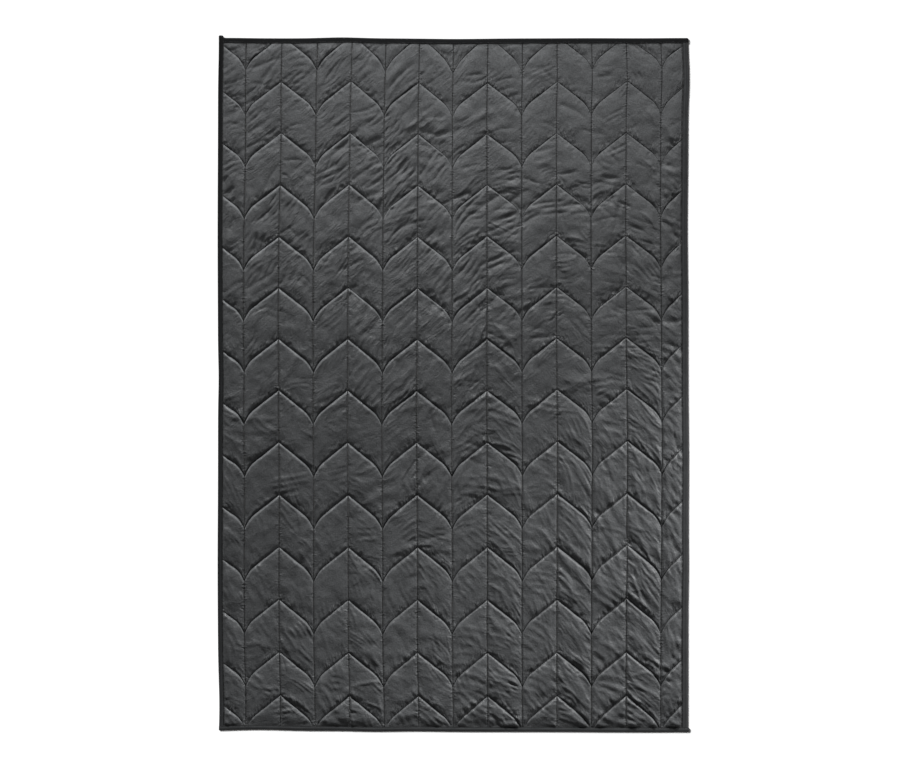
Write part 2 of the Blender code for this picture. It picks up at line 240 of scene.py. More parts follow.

# Creases, listed one by one. x, y: middle of the first one. angle: anticlockwise from +X. width:
# half its breadth. height: above the cloth, or below it where negative. bend: how far its
# ends turn off, to the left of its direction. count: how many lie side by side. pitch: how
# far apart they are, to the right of the first one.
CREASES = (
    # x, y, angle, length, width, height, bend, count, pitch     (mm and degrees)
    # head end, left
    (-550, 925, 21, 105, 9, -2.3, 6, 1, 0),
    (-562, 866, -6, 56, 5, -1.7, -8, 1, 0),
    (-515, 892, 40, 34, 6, -1.3, 0, 1, 0),
    (-640, 962, 40, 44, 4, -1.3, 0, 3, 13),
    (-622, 878, 48, 52, 7, -1.3, 0, 2, 24),
    (-560, 974, 26, 60, 4, -1.1, 0, 2, 9),
    (-450, 962, 13, 82, 5, -1.4, -4, 4, 23),
    (-455, 868, 9, 62, 4, -1.1, -3, 3, 20),
    (-450, 792, 9, 62, 6, -0.9, 0, 2, 42),
    (-346, 906, 53, 104, 7, -2.1, -5, 1, 0),
    (-324, 918, 58, 74, 5, -1.4, -3, 1, 0),
    (-368, 972, 45, 46, 4, -1.3, 0, 3, 17),
    (-276, 930, 40, 62, 6, -1.3, -3, 3, 26),
    (-562, 780, 46, 78, 9, -1.8, 11, 1, 0),
    (-582, 722, -50, 28, 4, -1.1, 0, 1, 0),
    (-562, 722, -50, 28, 4, -1.0, 0, 1, 0),
    (-541, 733, -50, 28, 4, -1.0, 0, 1, 0),
    (-632, 770, 54, 60, 7, -1.1, 0, 2, 34),
    # head end, middle
    (-150, 890, 45, 116, 7, -2.0, -6, 1, 0),
    (-136, 884, 46, 68, 5, -1.3, -3, 1, 0),
    (-135, 785, 45, 48, 7, -1.0, 0, 2, 30),
    (-70, 797, 32, 52, 6, -1.4, 0, 1, 0),
    (-40, 760, 50, 72, 6, -1.2, -3, 1, 0),
    (-60, 848, 60, 25, 4, -0.9, 0, 3, 13),
    (65, 893, 4, 60, 6, -1.8, -2, 1, 0),
    (38, 874, 5, 50, 5, -1.1, 0, 1, 0),
    (80, 722, 10, 46, 5, -1.1, -4, 2, 17),
    (150, 880, 13, 68, 5, -1.4, -6, 2, 28),
    (145, 735, 10, 70, 5, -1.2, -6, 2, 38),
    # head end, right
    (245, 915, 10, 46, 4, -1.1, 0, 1, 0),
    (275, 893, -45, 56, 5, -1.4, 0, 1, 0),
    (325, 870, -74, 36, 4, -1.3, -3, 2, -15),
    (525, 886, -70, 36, 4, -1.3, -3, 2, -15),
    (440, 890, 5, 62, 5, -1.6, -3, 1, 0),
    (638, 962, -40, 42, 4, 1.1, 0, 2, 17),
    (576, 770, -63, 66, 8, 1.5, 0, 1, 0),
    (620, 730, -58, 70, 6, 1.7, -4, 1, 0),
    (610, 703, -73, 68, 5, -1.6, 0, 1, 0),
    # second band, left
    (-460, 648, 2, 62, 6, -1.6, -2, 1, 0),
    (-485, 603, -20, 32, 4, -1.4, -7, 1, 0),
    (-392, 640, -46, 24, 4, -0.9, 0, 4, 22),
    (-325, 598, 65, 42, 4, -1.3, 6, 1, 0),
    (-255, 610, 36, 84, 6, -1.4, -3, 2, 28),
    (-460, 440, -45, 46, 7, -0.9, 0, 1, 0),
    (-540, 495, 60, 62, 8, -1.0, -4, 2, 30),
    # second band, middle
    (-150, 606, 42, 72, 6, -1.2, -3, 3, 44),
    (-150, 450, 42, 98, 9, -1.5, -5, 2, 44),
    (-65, 585, 40, 48, 5, -1.3, -4, 2, 44),
    (-55, 440, 42, 60, 6, -0.9, 0, 2, 34),
    (50, 630, 11, 70, 5, -1.3, -3, 1, 0),
    (50, 516, 10, 76, 5, -1.3, -3, 2, 44),
    (150, 620, 4, 76, 5, -1.4, -2, 2, 30),
    (150, 505, 2, 76, 5, -1.3, -2, 2, 37),
    (125, 430, 0, 36, 6, -1.4, 0, 1, 0),
    # second band, right
    (320, 580, -63, 46, 5, -1.7, -5, 1, 0),
    (515, 576, -60, 60, 6, -2.0, -5, 1, 0),
    (565, 635, -45, 72, 6, 1.5, -5, 1, 0),
    (622, 619, -22, 46, 4, 1.5, -5, 1, 0),
    (637, 580, -50, 54, 5, 2.2, -4, 1, 0),
    (640, 530, -46, 46, 4, 1.5, 0, 2, 30),
    (612, 470, -22, 28, 5, -2.0, 0, 1, 0),
    (642, 434, -61, 70, 5, -2.4, 6, 1, 0),
    (565, 476, -46, 74, 8, 1.7, -7, 1, 0),
    (530, 448, -15, 62, 6, -2.0, -5, 1, 0),
    (560, 410, -15, 84, 5, -1.6, -3, 1, 0),
    (450, 592, 3, 76, 5, -1.3, -2, 2, 52),
    (452, 480, 5, 76, 5, -1.2, -3, 1, 0),
    (455, 380, 2, 70, 5, -1.2, -2, 1, 0),
    (322, 455, -80, 92, 4, -1.3, -3, 1, 0),
    (328, 225, -88, 225, 3, -1.1, -3, 2, -7),
    # third band
    (-285, 315, 45, 44, 6, -1.0, 0, 1, 0),
    (-268, 188, 42, 100, 7, 1.2, -3, 2, 24),
    (-425, 305, -40, 42, 4, -0.9, -4, 1, 0),
    (-168, 205, 43, 100, 7, -1.1, -3, 3, 26),
    (-60, 262, 38, 70, 6, -0.9, -3, 2, 60),
    (150, 302, 12, 70, 5, -1.1, -4, 2, 22),
    (130, 35, -38, 50, 5, -1.1, 0, 1, 0),
    (358, 158, -52, 78, 6, -1.4, -5, 2, -22),
    (450, 192, 8, 76, 6, -1.4, -3, 2, 50),
    (435, 35, -42, 44, 5, -1.3, 0, 1, 0),
    (550, 215, 2, 80, 5, -1.8, -2, 1, 0),
    (550, 164, 3, 80, 5, -1.7, -2, 3, 21),
    (510, 12, -50, 32, 5, -1.6, -6, 1, 0),
    (635, 246, -32, 60, 5, 1.6, -3, 1, 0),
    (612, 172, -36, 34, 5, 2.2, 0, 1, 0),
    (642, 196, -38, 48, 4, 1.5, 0, 4, 26),
    (622, 76, -34, 60, 5, 2.0, -3, 1, 0),
    (626, 26, -45, 72, 5, 2.2, -3, 1, 0),
    # middle rows, left and middle
    (-375, -125, 72, 118, 3, 0.9, -3, 1, 0),
    (-268, -230, 42, 46, 4, 1.1, 0, 1, 0),
    (-470, -220, 40, 50, 4, 0.8, 0, 1, 0),
    (-648, -36, -56, 62, 5, -1.1, -4, 2, 24),
    (-640, -250, -60, 60, 5, 0.9, 0, 3, 22),
    (-640, -430, -42, 84, 9, 1.4, -4, 1, 0),
    (-560, -480, -58, 52, 4, 1.1, -4, 1, 0),
    (-432, -448, -32, 32, 4, 1.4, -3, 2, 9),
    (-268, -556, 46, 90, 7, 1.5, 8, 1, 0),
    (-312, -428, 38, 42, 5, -1.1, -3, 2, 22),
    (-640, -580, -64, 80, 6, 0.9, 0, 3, 22),
    (-560, -590, -54, 66, 6, 0.8, 0, 3, 26),
    (-185, -115, 50, 42, 4, 0.9, 0, 1, 0),
    (-60, -88, 30, 60, 5, 1.0, -7, 1, 0),
    (-62, -186, -70, 42, 4, -1.2, 0, 1, 0),
    (-82, -272, -62, 44, 4, -0.8, 0, 1, 0),
    (-44, -280, -78, 76, 4, -0.7, 0, 2, -18),
    (-120, -442, 32, 46, 4, 1.2, -3, 1, 0),
    (-175, -480, 50, 64, 5, -0.9, 0, 3, 22),
    (-45, -430, -88, 100, 4, -0.8, 0, 2, -16),
    (-72, -592, -60, 84, 8, 1.1, -4, 1, 0),
    # middle rows, right of the middle
    (150, -132, -52, 94, 5, 1.2, -8, 2, 24),
    (174, -174, -32, 62, 4, 1.3, -4, 2, 14),
    (58, -212, 4, 62, 4, -1.0, -2, 2, 20),
    (50, -266, -6, 76, 4, 1.1, -4, 3, 24),
    (178, -262, -62, 94, 6, 1.5, -8, 3, 24),
    (378, -104, -61, 78, 5, 1.6, -6, 1, 0),
    (356, -128, -70, 96, 4, 1.4, -5, 2, 16),
    (450, -30, -26, 82, 6, 1.4, -5, 2, 24),
    (450, -106, -10, 84, 5, 1.1, -4, 1, 0),
    (444, -130, -15, 92, 5, 1.6, -6, 1, 0),
    (428, -122, -18, 54, 4, -1.4, -4, 1, 0),
    (480, -142, -44, 42, 4, 1.4, -3, 1, 0),
    (558, -132, -40, 122, 8, 2.3, -12, 1, 0),
    (536, -150, -44, 74, 6, -1.5, -7, 1, 0),
    (519, -120, -35, 42, 5, -2.0, -3, 1, 0),
    (634, -56, -38, 56, 4, 1.8, -4, 2, -22),
    (632, -98, -48, 76, 5, 2.1, -4, 3, 19),
    (653, -186, -30, 32, 5, -2.6, 0, 1, 0),
    (384, -258, -61, 96, 6, 1.8, -7, 2, 22),
    (303, -262, -82, 104, 4, -1.8, -3, 1, 0),
    (452, -232, -48, 66, 5, 1.3, -6, 2, 24),
    (450, -290, -44, 64, 5, 1.2, -6, 2, 22),
    (535, -284, -54, 88, 7, 2.1, -10, 1, 0),
    (519, -277, -46, 44, 5, -1.9, -6, 1, 0),
    (576, -280, -68, 112, 8, 1.4, -7, 1, 0),
    (636, -204, -36, 62, 4, 1.6, -4, 3, 17),
    (618, -200, 3, 34, 3, -1.4, 0, 2, 13),
    (632, -282, -58, 84, 6, 1.7, -5, 2, -18),
    # lower rows, right
    (150, -452, -47, 112, 7, 1.6, -8, 3, 27),
    (155, -421, 8, 78, 4, -2.2, -3, 1, 0),
    (72, -432, -44, 66, 4, 1.2, -5, 4, 19),
    (66, -530, -44, 72, 5, 1.3, -5, 3, 22),
    (152, -566, -35, 112, 8, 1.6, -12, 2, 36),
    (16, -580, -66, 52, 4, 1.3, -4, 1, 0),
    (252, -422, -32, 76, 6, 1.2, -4, 3, 28),
    (366, -408, -54, 96, 6, 1.7, -8, 3, 26),
    (382, -466, -64, 62, 5, 1.3, -4, 1, 0),
    (450, -416, -11, 112, 6, 2.4, -9, 1, 0),
    (468, -430, -6, 92, 5, -1.8, -6, 1, 0),
    (440, -392, -24, 64, 5, 1.1, -4, 1, 0),
    (428, -446, -42, 62, 7, 1.6, -6, 1, 0),
    (556, -398, -52, 94, 7, 1.6, -9, 2, 28),
    (538, -446, -50, 92, 7, 2.0, -9, 1, 0),
    (640, -404, -64, 92, 5, 1.8, -6, 3, 15),
    (634, -486, -42, 62, 4, 1.9, -4, 3, 17),
    (256, -542, -8, 86, 5, 1.5, -4, 4, 19),
    (348, -538, -46, 116, 7, 2.6, -6, 1, 0),
    (334, -546, -46, 84, 6, -2.2, -4, 1, 0),
    (374, -572, -42, 82, 6, 1.7, -5, 1, 0),
    (350, -602, -18, 82, 5, 1.1, 0, 1, 0),
    (466, -558, -68, 112, 8, 2.0, -8, 1, 0),
    (440, -566, -48, 76, 6, 1.4, -7, 3, 26),
    (574, -560, -68, 132, 8, 2.0, -9, 1, 0),
    (548, -576, -66, 142, 8, 2.4, -9, 1, 0),
    (523, -574, -66, 118, 6, 2.2, -8, 1, 0),
    (634, -556, -50, 82, 6, 1.8, -5, 4, 22),
    # foot rows, right
    (255, -692, -32, 88, 6, 1.4, -5, 4, 24),
    (346, -722, -60, 142, 9, 2.1, -8, 1, 0),
    (331, -712, -60, 112, 7, -2.0, -6, 1, 0),
    (372, -742, -60, 112, 8, 1.6, -7, 1, 0),
    (450, -712, -18, 92, 6, 1.1, -4, 1, 0),
    (446, -748, -38, 94, 6, 1.7, -6, 3, 20),
    (570, -722, -62, 132, 9, 1.5, -8, 1, 0),
    (540, -752, -60, 104, 7, 1.8, -8, 1, 0),
    (520, -736, -54, 72, 6, 1.5, -6, 1, 0),
    (616, -742, -77, 92, 5, 1.9, -4, 3, -16),
    (50, -702, -10, 84, 6, 1.2, -5, 4, 24),
    (150, -704, -16, 92, 6, 1.0, -5, 4, 26),
    (66, -840, -19, 74, 5, 1.5, -5, 1, 0),
    (60, -868, -14, 104, 5, 2.2, -7, 1, 0),
    (60, -853, -15, 64, 4, -1.3, -4, 1, 0),
    (150, -848, -18, 100, 5, 1.6, -6, 3, 23),
    (255, -830, -25, 86, 6, 1.5, -5, 4, 20),
    (368, -868, -60, 92, 5, 1.3, -5, 2, 18),
    (450, -840, -8, 102, 5, 2.2, -5, 1, 0),
    (450, -856, -8, 96, 5, -2.0, -4, 1, 0),
    (442, -868, -15, 92, 5, 1.7, -5, 2, 19),
    (480, -882, -20, 52, 4, 1.3, 0, 1, 0),
    (530, -868, -25, 84, 5, 2.1, -5, 1, 0),
    (520, -884, -30, 62, 5, -2.0, -4, 1, 0),
    (560, -886, -26, 112, 7, 2.4, -9, 1, 0),
    (548, -908, -36, 92, 6, 1.8, -6, 2, 22),
    (622, -897, -5, 52, 6, -2.8, -5, 1, 0),
    (625, -885, -10, 62, 6, 1.9, -5, 1, 0),
    (640, -858, -55, 62, 5, 1.4, -4, 2, 18),
    (654, -926, -50, 42, 5, -1.9, 0, 1, 0),
    (326, -950, -16, 82, 4, 1.2, -4, 2, 16),
    (430, -944, 3, 70, 5, -2.4, -3, 1, 0),
    (418, -966, -40, 32, 4, 1.6, 0, 2, -13),
    (490, -914, -4, 48, 4, 1.4, -2, 3, 17),
    (510, -961, -12, 122, 6, -2.6, 10, 1, 0),
    (500, -973, -8, 92, 6, 2.2, 9, 1, 0),
    (612, -966, -52, 32, 4, 1.6, 0, 4, -14),
    # foot rows, left and middle
    (-640, -742, -66, 92, 6, 1.0, -6, 2, -18),
    (-560, -742, -26, 94, 6, 1.3, 8, 1, 0),
    (-575, -760, -40, 52, 6, -1.0, 0, 1, 0),
    (-468, -738, -55, 82, 7, 1.0, -6, 2, 24),
    (-560, -846, -36, 80, 6, 1.1, -5, 3, 24),
    (-588, -892, 4, 42, 5, -1.2, 0, 1, 0),
    (-440, -920, -40, 62, 6, 1.0, -5, 1, 0),
    (-332, -838, -6, 54, 4, 1.4, -4, 3, 18),
    (-362, -866, -32, 56, 4, 1.1, -4, 4, 20),
    (-265, -864, 10, 62, 6, 1.0, -2, 1, 0),
    (-495, -926, 8, 82, 5, 1.1, -3, 3, 17),
    (-300, -926, -8, 62, 4, 1.1, -3, 2, 22),
    (-378, -968, 0, 42, 5, 1.8, -3, 1, 0),
    (-170, -920, -8, 64, 5, -1.3, -3, 3, 15),
    (-85, -928, -24, 58, 4, 1.0, -4, 3, 15),
    (26, -932, 8, 56, 5, 1.3, -3, 1, 0),
    (100, -944, -20, 72, 4, 1.1, -4, 2, 17),
)

# Where the finer wrinkles lie and which way they run
WRINKLE_REGIONS = (
    # x, y, reach, angle, spread, strength, length     (mm and degrees)
    (-520, 860, 190, 34, 14, 0.80, 70),
    (-180, 860, 190, 50, 12, 0.75, 76),
    (160, 840, 190, 18, 18, 0.50, 62),
    (480, 840, 180, -20, 40, 0.22, 54),
    (-480, 480, 200, 54, 18, 0.95, 62),
    (-120, 480, 200, 50, 12, 0.95, 80),
    (220, 500, 180, 14, 18, 0.70, 64),
    (500, 500, 160, -30, 30, 0.80, 60),
    (640, 400, 70, -44, 16, 1.35, 54),
    (-480, 120, 220, 66, 30, 0.95, 52),
    (-140, 120, 200, 60, 18, 0.95, 72),
    (200, 100, 180, 40, 40, 0.75, 58),
    (480, 120, 170, -24, 32, 0.80, 64),
    (640, 60, 70, -44, 12, 1.60, 56),
    (-460, -280, 240, -72, 26, 0.75, 58),
    (-80, -280, 190, 88, 26, 0.75, 62),
    (180, -280, 160, -62, 18, 0.90, 76),
    (460, -280, 180, -60, 16, 1.20, 80),
    (640, -320, 70, -56, 12, 1.60, 64),
    (-460, -640, 220, -68, 18, 0.65, 70),
    (-60, -620, 180, -76, 22, 0.60, 62),
    (180, -640, 170, -48, 18, 0.85, 76),
    (460, -640, 180, -58, 16, 1.40, 84),
    (640, -700, 70, -66, 12, 1.50, 66),
    (-460, -910, 200, -38, 22, 0.90, 54),
    (-60, -910, 180, -30, 22, 0.95, 52),
    (300, -900, 190, -34, 16, 1.40, 66),
    (580, -910, 150, -42, 18, 1.60, 58),
)
WRINKLE_SHEAVES = 2500
WRINKLE_SEED = 5
WRINKLE_HEIGHT = 0.0024
WRINKLE_WIDTH = 0.0033      # half-breadth
WRINKLE_MOST = 1.6          # at this strength every sheaf is drawn
BROAD_CHANCE = 0.13         # of a sheaf twice as broad
LEAF_PUCKERS = 4200         # short creases across the seams, drawn by the stitching
UPRIGHT_PUCKERS = 2600
PUCKER_SEED = 8
PUCKER_HEIGHT = 0.0012
PUCKER_LENGTH = 0.019
PUCKER_WIDTH = 0.0024
MARGIN_PUCKERS = 230        # short folds in the margin beside the right binding
MARGIN_PUCKERS_TO = 0.75    # y up to which they lie
MARGIN_HEIGHT = 0.00156
MARGIN_LENGTH = 0.0456
MARGIN_WIDTH = 0.00312

# ---- sewing ---------------------------------------------------------------------------------
STITCH_PITCH = 0.0048
STITCH_LENGTH = 0.0035
STITCH_RADIUS = 0.00036
FACE_STITCH_RISE = 0.00022  # the stitches' middles over the face, and under the back
BACK_STITCH_DROP = 0.00010
TAPE_STITCH_IN = 0.0022     # the tape's stitch line, out from its inner edge
TAPE_STITCH_DIP = 0.00035   # how far it sinks into the tape
TAPE_STITCH_LEVELS = (TAPE_HEIGHT - 0.00030, 0.00045)
TAPE_STITCH_STOP = 0.004    # before the tape's last end
TAPE_STEP = 0.0045          # between two sections of a tape
RIPPLE_PITCH = 0.016        # the tape's unevenness along it
RIPPLE_HEIGHT = 0.00016


# ---- small helpers --------------------------------------------------------------------------
def bell(place, centre, reach):
    return np.exp(-(((place - centre) / reach) ** 2))


def smooth_step(value):
    value = np.clip(value, 0.0, 1.0)
    return value * value * (3.0 - 2.0 * value)


def shoulder(distance, reach, power=SHOULDER_POWER):
    return 1.0 - (1.0 - np.clip(distance / reach, 0.0, 1.0)) ** power


def edge_wave(edge, place):
    return sum(push * bell(place, centre, reach)
               for name, centre, reach, push in EDGE_WAVES if name == edge)


def edge_line(edge, place):
    """The outer edge's X (left, right) or Y (head, foot) at a place along it."""
    half = HALF_WIDTH if edge in ("left", "right") else HALF_LENGTH
    side = 1.0 if edge in ("right", "head") else -1.0
    return side * half + edge_wave(edge, place)


def cover_line(edge):
    """How far in from the outer edge the tape covers the quilt."""
    return TAPE_WIDTH[edge] + COVER_GAP


def in_frame(x, y, z, origin):
    """Points at these places, shifted to the frame's origin."""
    return np.stack(np.broadcast_arrays(x + origin[0], y + origin[1], z), axis=-1)


def add_object(name, data):
    """A new object in the scene, for a mesh, a light or the camera."""
    thing = bpy.data.objects.new(name, data)
    bpy.context.scene.collection.objects.link(thing)
    return thing


# ---- sewn pattern ---------------------------------------------------------------------------
def leaf_drop(u):
    """How far a leaf's side has fallen below its tip."""
    phase = (u / PANEL + 1.0) % 2.0
    across = PANEL * np.minimum(phase, 2.0 - phase)
    bend = np.maximum(across - LEAF_BEND_START, 0.0) / (PANEL - LEAF_BEND_START)
    return LEAF_SLOPE * across + LEAF_BEND_DROP * bend ** LEAF_BEND_POWER


def tip_rows():
    """Heights of the rows of tips from the foot up, with one past each end."""
    full = [SECOND_TIP - ROW_PITCH * row for row in reversed(range(FULL_ROWS))]
    return np.array([FOOT_TIP - ROW_PITCH, FOOT_TIP] + full + [HEAD_TIP, HEAD_TIP + ROW_PITCH])


TIPS = tip_rows()


def seam_distances(u, v):
    """Distances to the nearest upright seam, and to the leaf seams above and below."""
    phase = (u + OUTER_SEAM) % PANEL
    across = np.minimum(phase, PANEL - phase)
    level = v + leaf_drop(u)
    row = np.clip(np.searchsorted(TIPS, level), 1, len(TIPS) - 1)
    square_on = 1.0 / math.hypot(1.0, LEAF_SLOPE)
    return across, (TIPS[row] - level) * square_on, (level - TIPS[row - 1]) * square_on


def nearest_seam(u, v):
    across, above, below = seam_distances(u, v)
    return np.minimum(across, np.minimum(above, below))


def edge_distances(u, v):
    """Distances in from the tapes' inner edges."""
    from_edges = {"left": u + HALF_WIDTH, "right": HALF_WIDTH - u,
                  "head": HALF_LENGTH - v, "foot": v + HALF_LENGTH}
    return {edge: distance - cover_line(edge) for edge, distance in from_edges.items()}


def warp(u, v):
    """Carries a place on the straight pattern to where it lies on the real, uneven quilt."""
    inward = edge_distances(u, v)
    free = {edge: smooth_step(distance / WARP_FADE) for edge, distance in inward.items()}
    loose_x, loose_y = free["left"] * free["right"], free["head"] * free["foot"]
    lean = LEAN_AT_HEAD * bell(u, LEAN_CENTRE_X, LEAN_REACH_X) * np.exp((v - HALF_LENGTH) / LEAN_FADE_Y)
    spread = SPREAD * u * bell(v, 0.0, SPREAD_REACH_Y)
    bow = ROW_BOW * bell(v, ROW_BOW_CENTRE_Y, ROW_BOW_REACH_Y) * free["left"]
    sag = HEAD_SAG * bell(u, 0.0, HEAD_SAG_REACH_X) * bell(v, HEAD_SAG_Y, HEAD_SAG_REACH_Y)
    tilt = ROW_TILT * ((u + HALF_WIDTH) / (2.0 * HALF_WIDTH)) ** 2
    pull = MARGIN_PULL * np.maximum(u - OUTER_SEAM, 0.0) / (HALF_WIDTH - OUTER_SEAM)
    from_left = smooth_step(inward["left"] / (inward["left"] + inward["right"]))
    from_foot = smooth_step(inward["foot"] / (inward["foot"] + inward["head"]))
    side_x = edge_wave("left", v) * (1.0 - from_left) + edge_wave("right", v) * from_left
    side_y = edge_wave("foot", u) * (1.0 - from_foot) + edge_wave("head", u) * from_foot
    pull_x = pull_y = 0.0
    for x, y, reach, push_x, push_y in SEAM_PULLS:
        near = MM * loose_x * loose_y * bell(np.hypot(u - x * MM, v - y * MM), 0.0, reach * MM)
        pull_x, pull_y = pull_x + push_x * near, pull_y + push_y * near
    return (u + side_x + pull_x + loose_x * (lean + spread),
            v + side_y + pull_y + loose_y * (bow + tilt + pull - sag))


# ---- relief ---------------------------------------------------------------------------------
class Relief:
    """Heights on an even grid over the blanket, built up from strokes and noise."""

    def __init__(self):
        self.low_x, self.low_y = -HALF_WIDTH - FIELD_MARGIN, -HALF_LENGTH - FIELD_MARGIN
        columns = round(-2.0 * self.low_x / FIELD_STEP) + 1
        rows = round(-2.0 * self.low_y / FIELD_STEP) + 1
        self.heights = np.zeros((rows, columns))

    def add_stroke(self, x, y, angle, length, width, height, bend=0.0):
        """One crease: highest along its middle, bent to one side, fading to both ends."""
        half = 0.5 * length
        reach = half + abs(bend) + 2.2 * width
        places = ((x, self.low_x), (y, self.low_y))
        first = [max(int((place - reach - low) / FIELD_STEP), 0) for place, low in places]
        last = [int((place + reach - low) / FIELD_STEP) + 2 for place, low in places]
        part = self.heights[first[1]:last[1], first[0]:last[0]]
        if part.size == 0:
            return
        dy, dx = np.mgrid[0:part.shape[0], 0:part.shape[1]] * FIELD_STEP
        dx += self.low_x + first[0] * FIELD_STEP - x
        dy += self.low_y + first[1] * FIELD_STEP - y
        cosine, sine = math.cos(angle), math.sin(angle)
        along = (dx * cosine + dy * sine) / half
        aside = dy * cosine - dx * sine - bend * (along * along - 0.4)
        taper = np.clip(1.0 - np.abs(along) ** STROKE_TAPER, 0.0, 1.0)
        part += height * taper * np.exp(-np.abs(aside / (width * (0.5 + 0.5 * taper))) ** STROKE_ROUND)

    def add_noise(self, seed, finest, coarsest, height):
        """Even, seeded unevenness with wavelengths between the two."""
        rows, columns = self.heights.shape
        spectrum = np.fft.rfft2(np.random.default_rng(seed).standard_normal((rows, columns)))
        pace_y, pace_x = np.fft.fftfreq(rows, FIELD_STEP), np.fft.rfftfreq(columns, FIELD_STEP)
        pace = np.hypot(pace_y[:, None], pace_x[None, :])
        spectrum *= np.exp(-(pace * finest) ** 2) - np.exp(-(pace * coarsest) ** 2)
        noise = np.fft.irfft2(spectrum, s=(rows, columns))
        self.heights += height * noise / noise.std()

    def at(self, x, y):
        """Heights at any places, between the grid's points."""
        across = np.clip((x - self.low_x) / FIELD_STEP, 0, self.heights.shape[1] - 1.001)
        up = np.clip((y - self.low_y) / FIELD_STEP, 0, self.heights.shape[0] - 1.001)
        column, row = across.astype(int), up.astype(int)
        across, up = across - column, up - row
        lower = self.heights[row, column] * (1 - across) + self.heights[row, column + 1] * across
        upper = self.heights[row + 1, column] * (1 - across) + self.heights[row + 1, column + 1] * across
        return lower * (1 - up) + upper * up


def deepening(height, y):
    """How much deeper a trough is towards the head end; ridges stay as they are."""
    if height >= 0.0:
        return 1.0
    return 1.0 + HEAD_GAIN * float(smooth_step((y - HEAD_GAIN_FROM) / HEAD_GAIN_REACH))


def half_deepened(height, y):
    return height * (0.5 + 0.5 * deepening(height, y))


def add_creases(relief):
    for x, y, angle, length, width, height, bend, count, pitch in CREASES:
        turn = math.radians(angle)
        gain = (RIDGE_GAIN if height > 0.0 else TROUGH_GAIN) * deepening(height, y * MM)
        level = gain * (height if y > 0.0 else CREASE_LIMIT * math.tanh(height / CREASE_LIMIT))
        breadth = width * (HEAD_SLIMNESS if y > 0.0 else FOOT_SLIMNESS)
        for step in range(count):
            shift = step * pitch
            fade = 1.0 - SHEAF_FADE * step
            relief.add_stroke((x + shift * math.sin(turn)) * MM, (y - shift * math.cos(turn)) * MM, turn,
                              length * fade * MM, breadth * MM, level * fade * MM, bend * MM)


def wrinkle_lie(x, y):
    """Direction, its spread, strength and length of the fine wrinkles at a place."""
    weights = [math.exp(-((x - cx * MM) ** 2 + (y - cy * MM) ** 2) / (reach * MM) ** 2) + 1e-9
               for cx, cy, reach, _, _, _, _ in WRINKLE_REGIONS]
    whole = sum(weights)
    return [sum(weight * row[column] for weight, row in zip(weights, WRINKLE_REGIONS)) / whole
            for column in (3, 4, 5, 6)]


def add_wrinkles(relief):
    """Fine folds, in sheaves of one to four that run beside each other."""
    chance = np.random.default_rng(WRINKLE_SEED)
    for _ in range(WRINKLE_SHEAVES):
        x = chance.uniform(-HALF_WIDTH, HALF_WIDTH)
        y = chance.uniform(-HALF_LENGTH, HALF_LENGTH)
        angle, spread, strength, length = wrinkle_lie(x, y)
        if chance.random() > strength / WRINKLE_MOST:
            continue
        turn = math.radians(angle + spread * chance.normal())
        broad = 2.0 if chance.random() < BROAD_CHANCE else 1.0
        long = length * MM * chance.uniform(0.6, 1.7) * math.sqrt(broad)
        width = WRINKLE_WIDTH * chance.uniform(0.65, 1.6) * broad
        height = WRINKLE_HEIGHT * math.sqrt(strength) * chance.uniform(0.4, 1.25) * broad ** 0.8
        if chance.random() < 0.15 + 0.55 * smooth_step((y + 0.1) / 0.6):
            height = half_deepened(-0.75 * height, y)   # a trough, as most are towards the head
        bend = 0.07 * long * chance.normal()
        for _ in range(chance.integers(1, 5)):
            relief.add_stroke(x, y, turn, long, width, height, bend)
            aside = width * chance.uniform(3.0, 4.2)
            along = 0.15 * long * chance.normal()
            x += aside * math.sin(turn) + along * math.cos(turn)
            y += along * math.sin(turn) - aside * math.cos(turn)
            height, long = height * chance.uniform(0.6, 1.05), long * chance.uniform(0.7, 1.05)


def add_leaf_puckers(relief):
    """Short creases that start in the leaf seams, most on their upper side."""
    chance = np.random.default_rng(PUCKER_SEED)
    for _ in range(LEAF_PUCKERS):
        u = chance.uniform(-HALF_WIDTH, HALF_WIDTH)
        tip = chance.choice(TIPS[1:-1])
        side = chance.choice((1.0, 1.0, -1.0))
        out = side * PUCKER_LENGTH * chance.uniform(0.25, 0.6)
        x, y = warp(u, tip - float(leaf_drop(u)) + out)
        _, _, strength, _ = wrinkle_lie(x, y)
        falling = 1.0 if (u / PANEL) % 2.0 >= 1.0 else -1.0
        turn = math.atan2(1.0, LEAF_SLOPE * falling) + math.radians(20) * chance.normal()
        height = PUCKER_HEIGHT * math.sqrt(strength) * chance.uniform(0.4, 1.8) * chance.choice((1.0, -1.0))
        length = PUCKER_LENGTH * chance.uniform(0.7, 1.5)
        relief.add_stroke(x, y, turn, length, PUCKER_WIDTH, half_deepened(height, y))


def add_upright_puckers(relief):
    """Short creases that slant out of the upright seams."""
    chance = np.random.default_rng(PUCKER_SEED + 1)
    last_seam = round(OUTER_SEAM / PANEL)
    for _ in range(UPRIGHT_PUCKERS):
        side = chance.choice((1.0, -1.0))
        seam = PANEL * chance.integers(-last_seam, last_seam + 1)
        u = seam + side * PUCKER_LENGTH * chance.uniform(0.2, 0.5)
        x, y = warp(u, chance.uniform(-HALF_LENGTH, HALF_LENGTH))
        angle, _, strength, _ = wrinkle_lie(x, y)
        turn = math.radians(0.6 * angle + 18.0 * chance.normal())
        height = PUCKER_HEIGHT * math.sqrt(strength) * chance.uniform(0.3, 1.2) * chance.choice((1.0, -1.0))
        relief.add_stroke(x, y, turn, PUCKER_LENGTH * chance.uniform(0.6, 1.4), PUCKER_WIDTH, height)


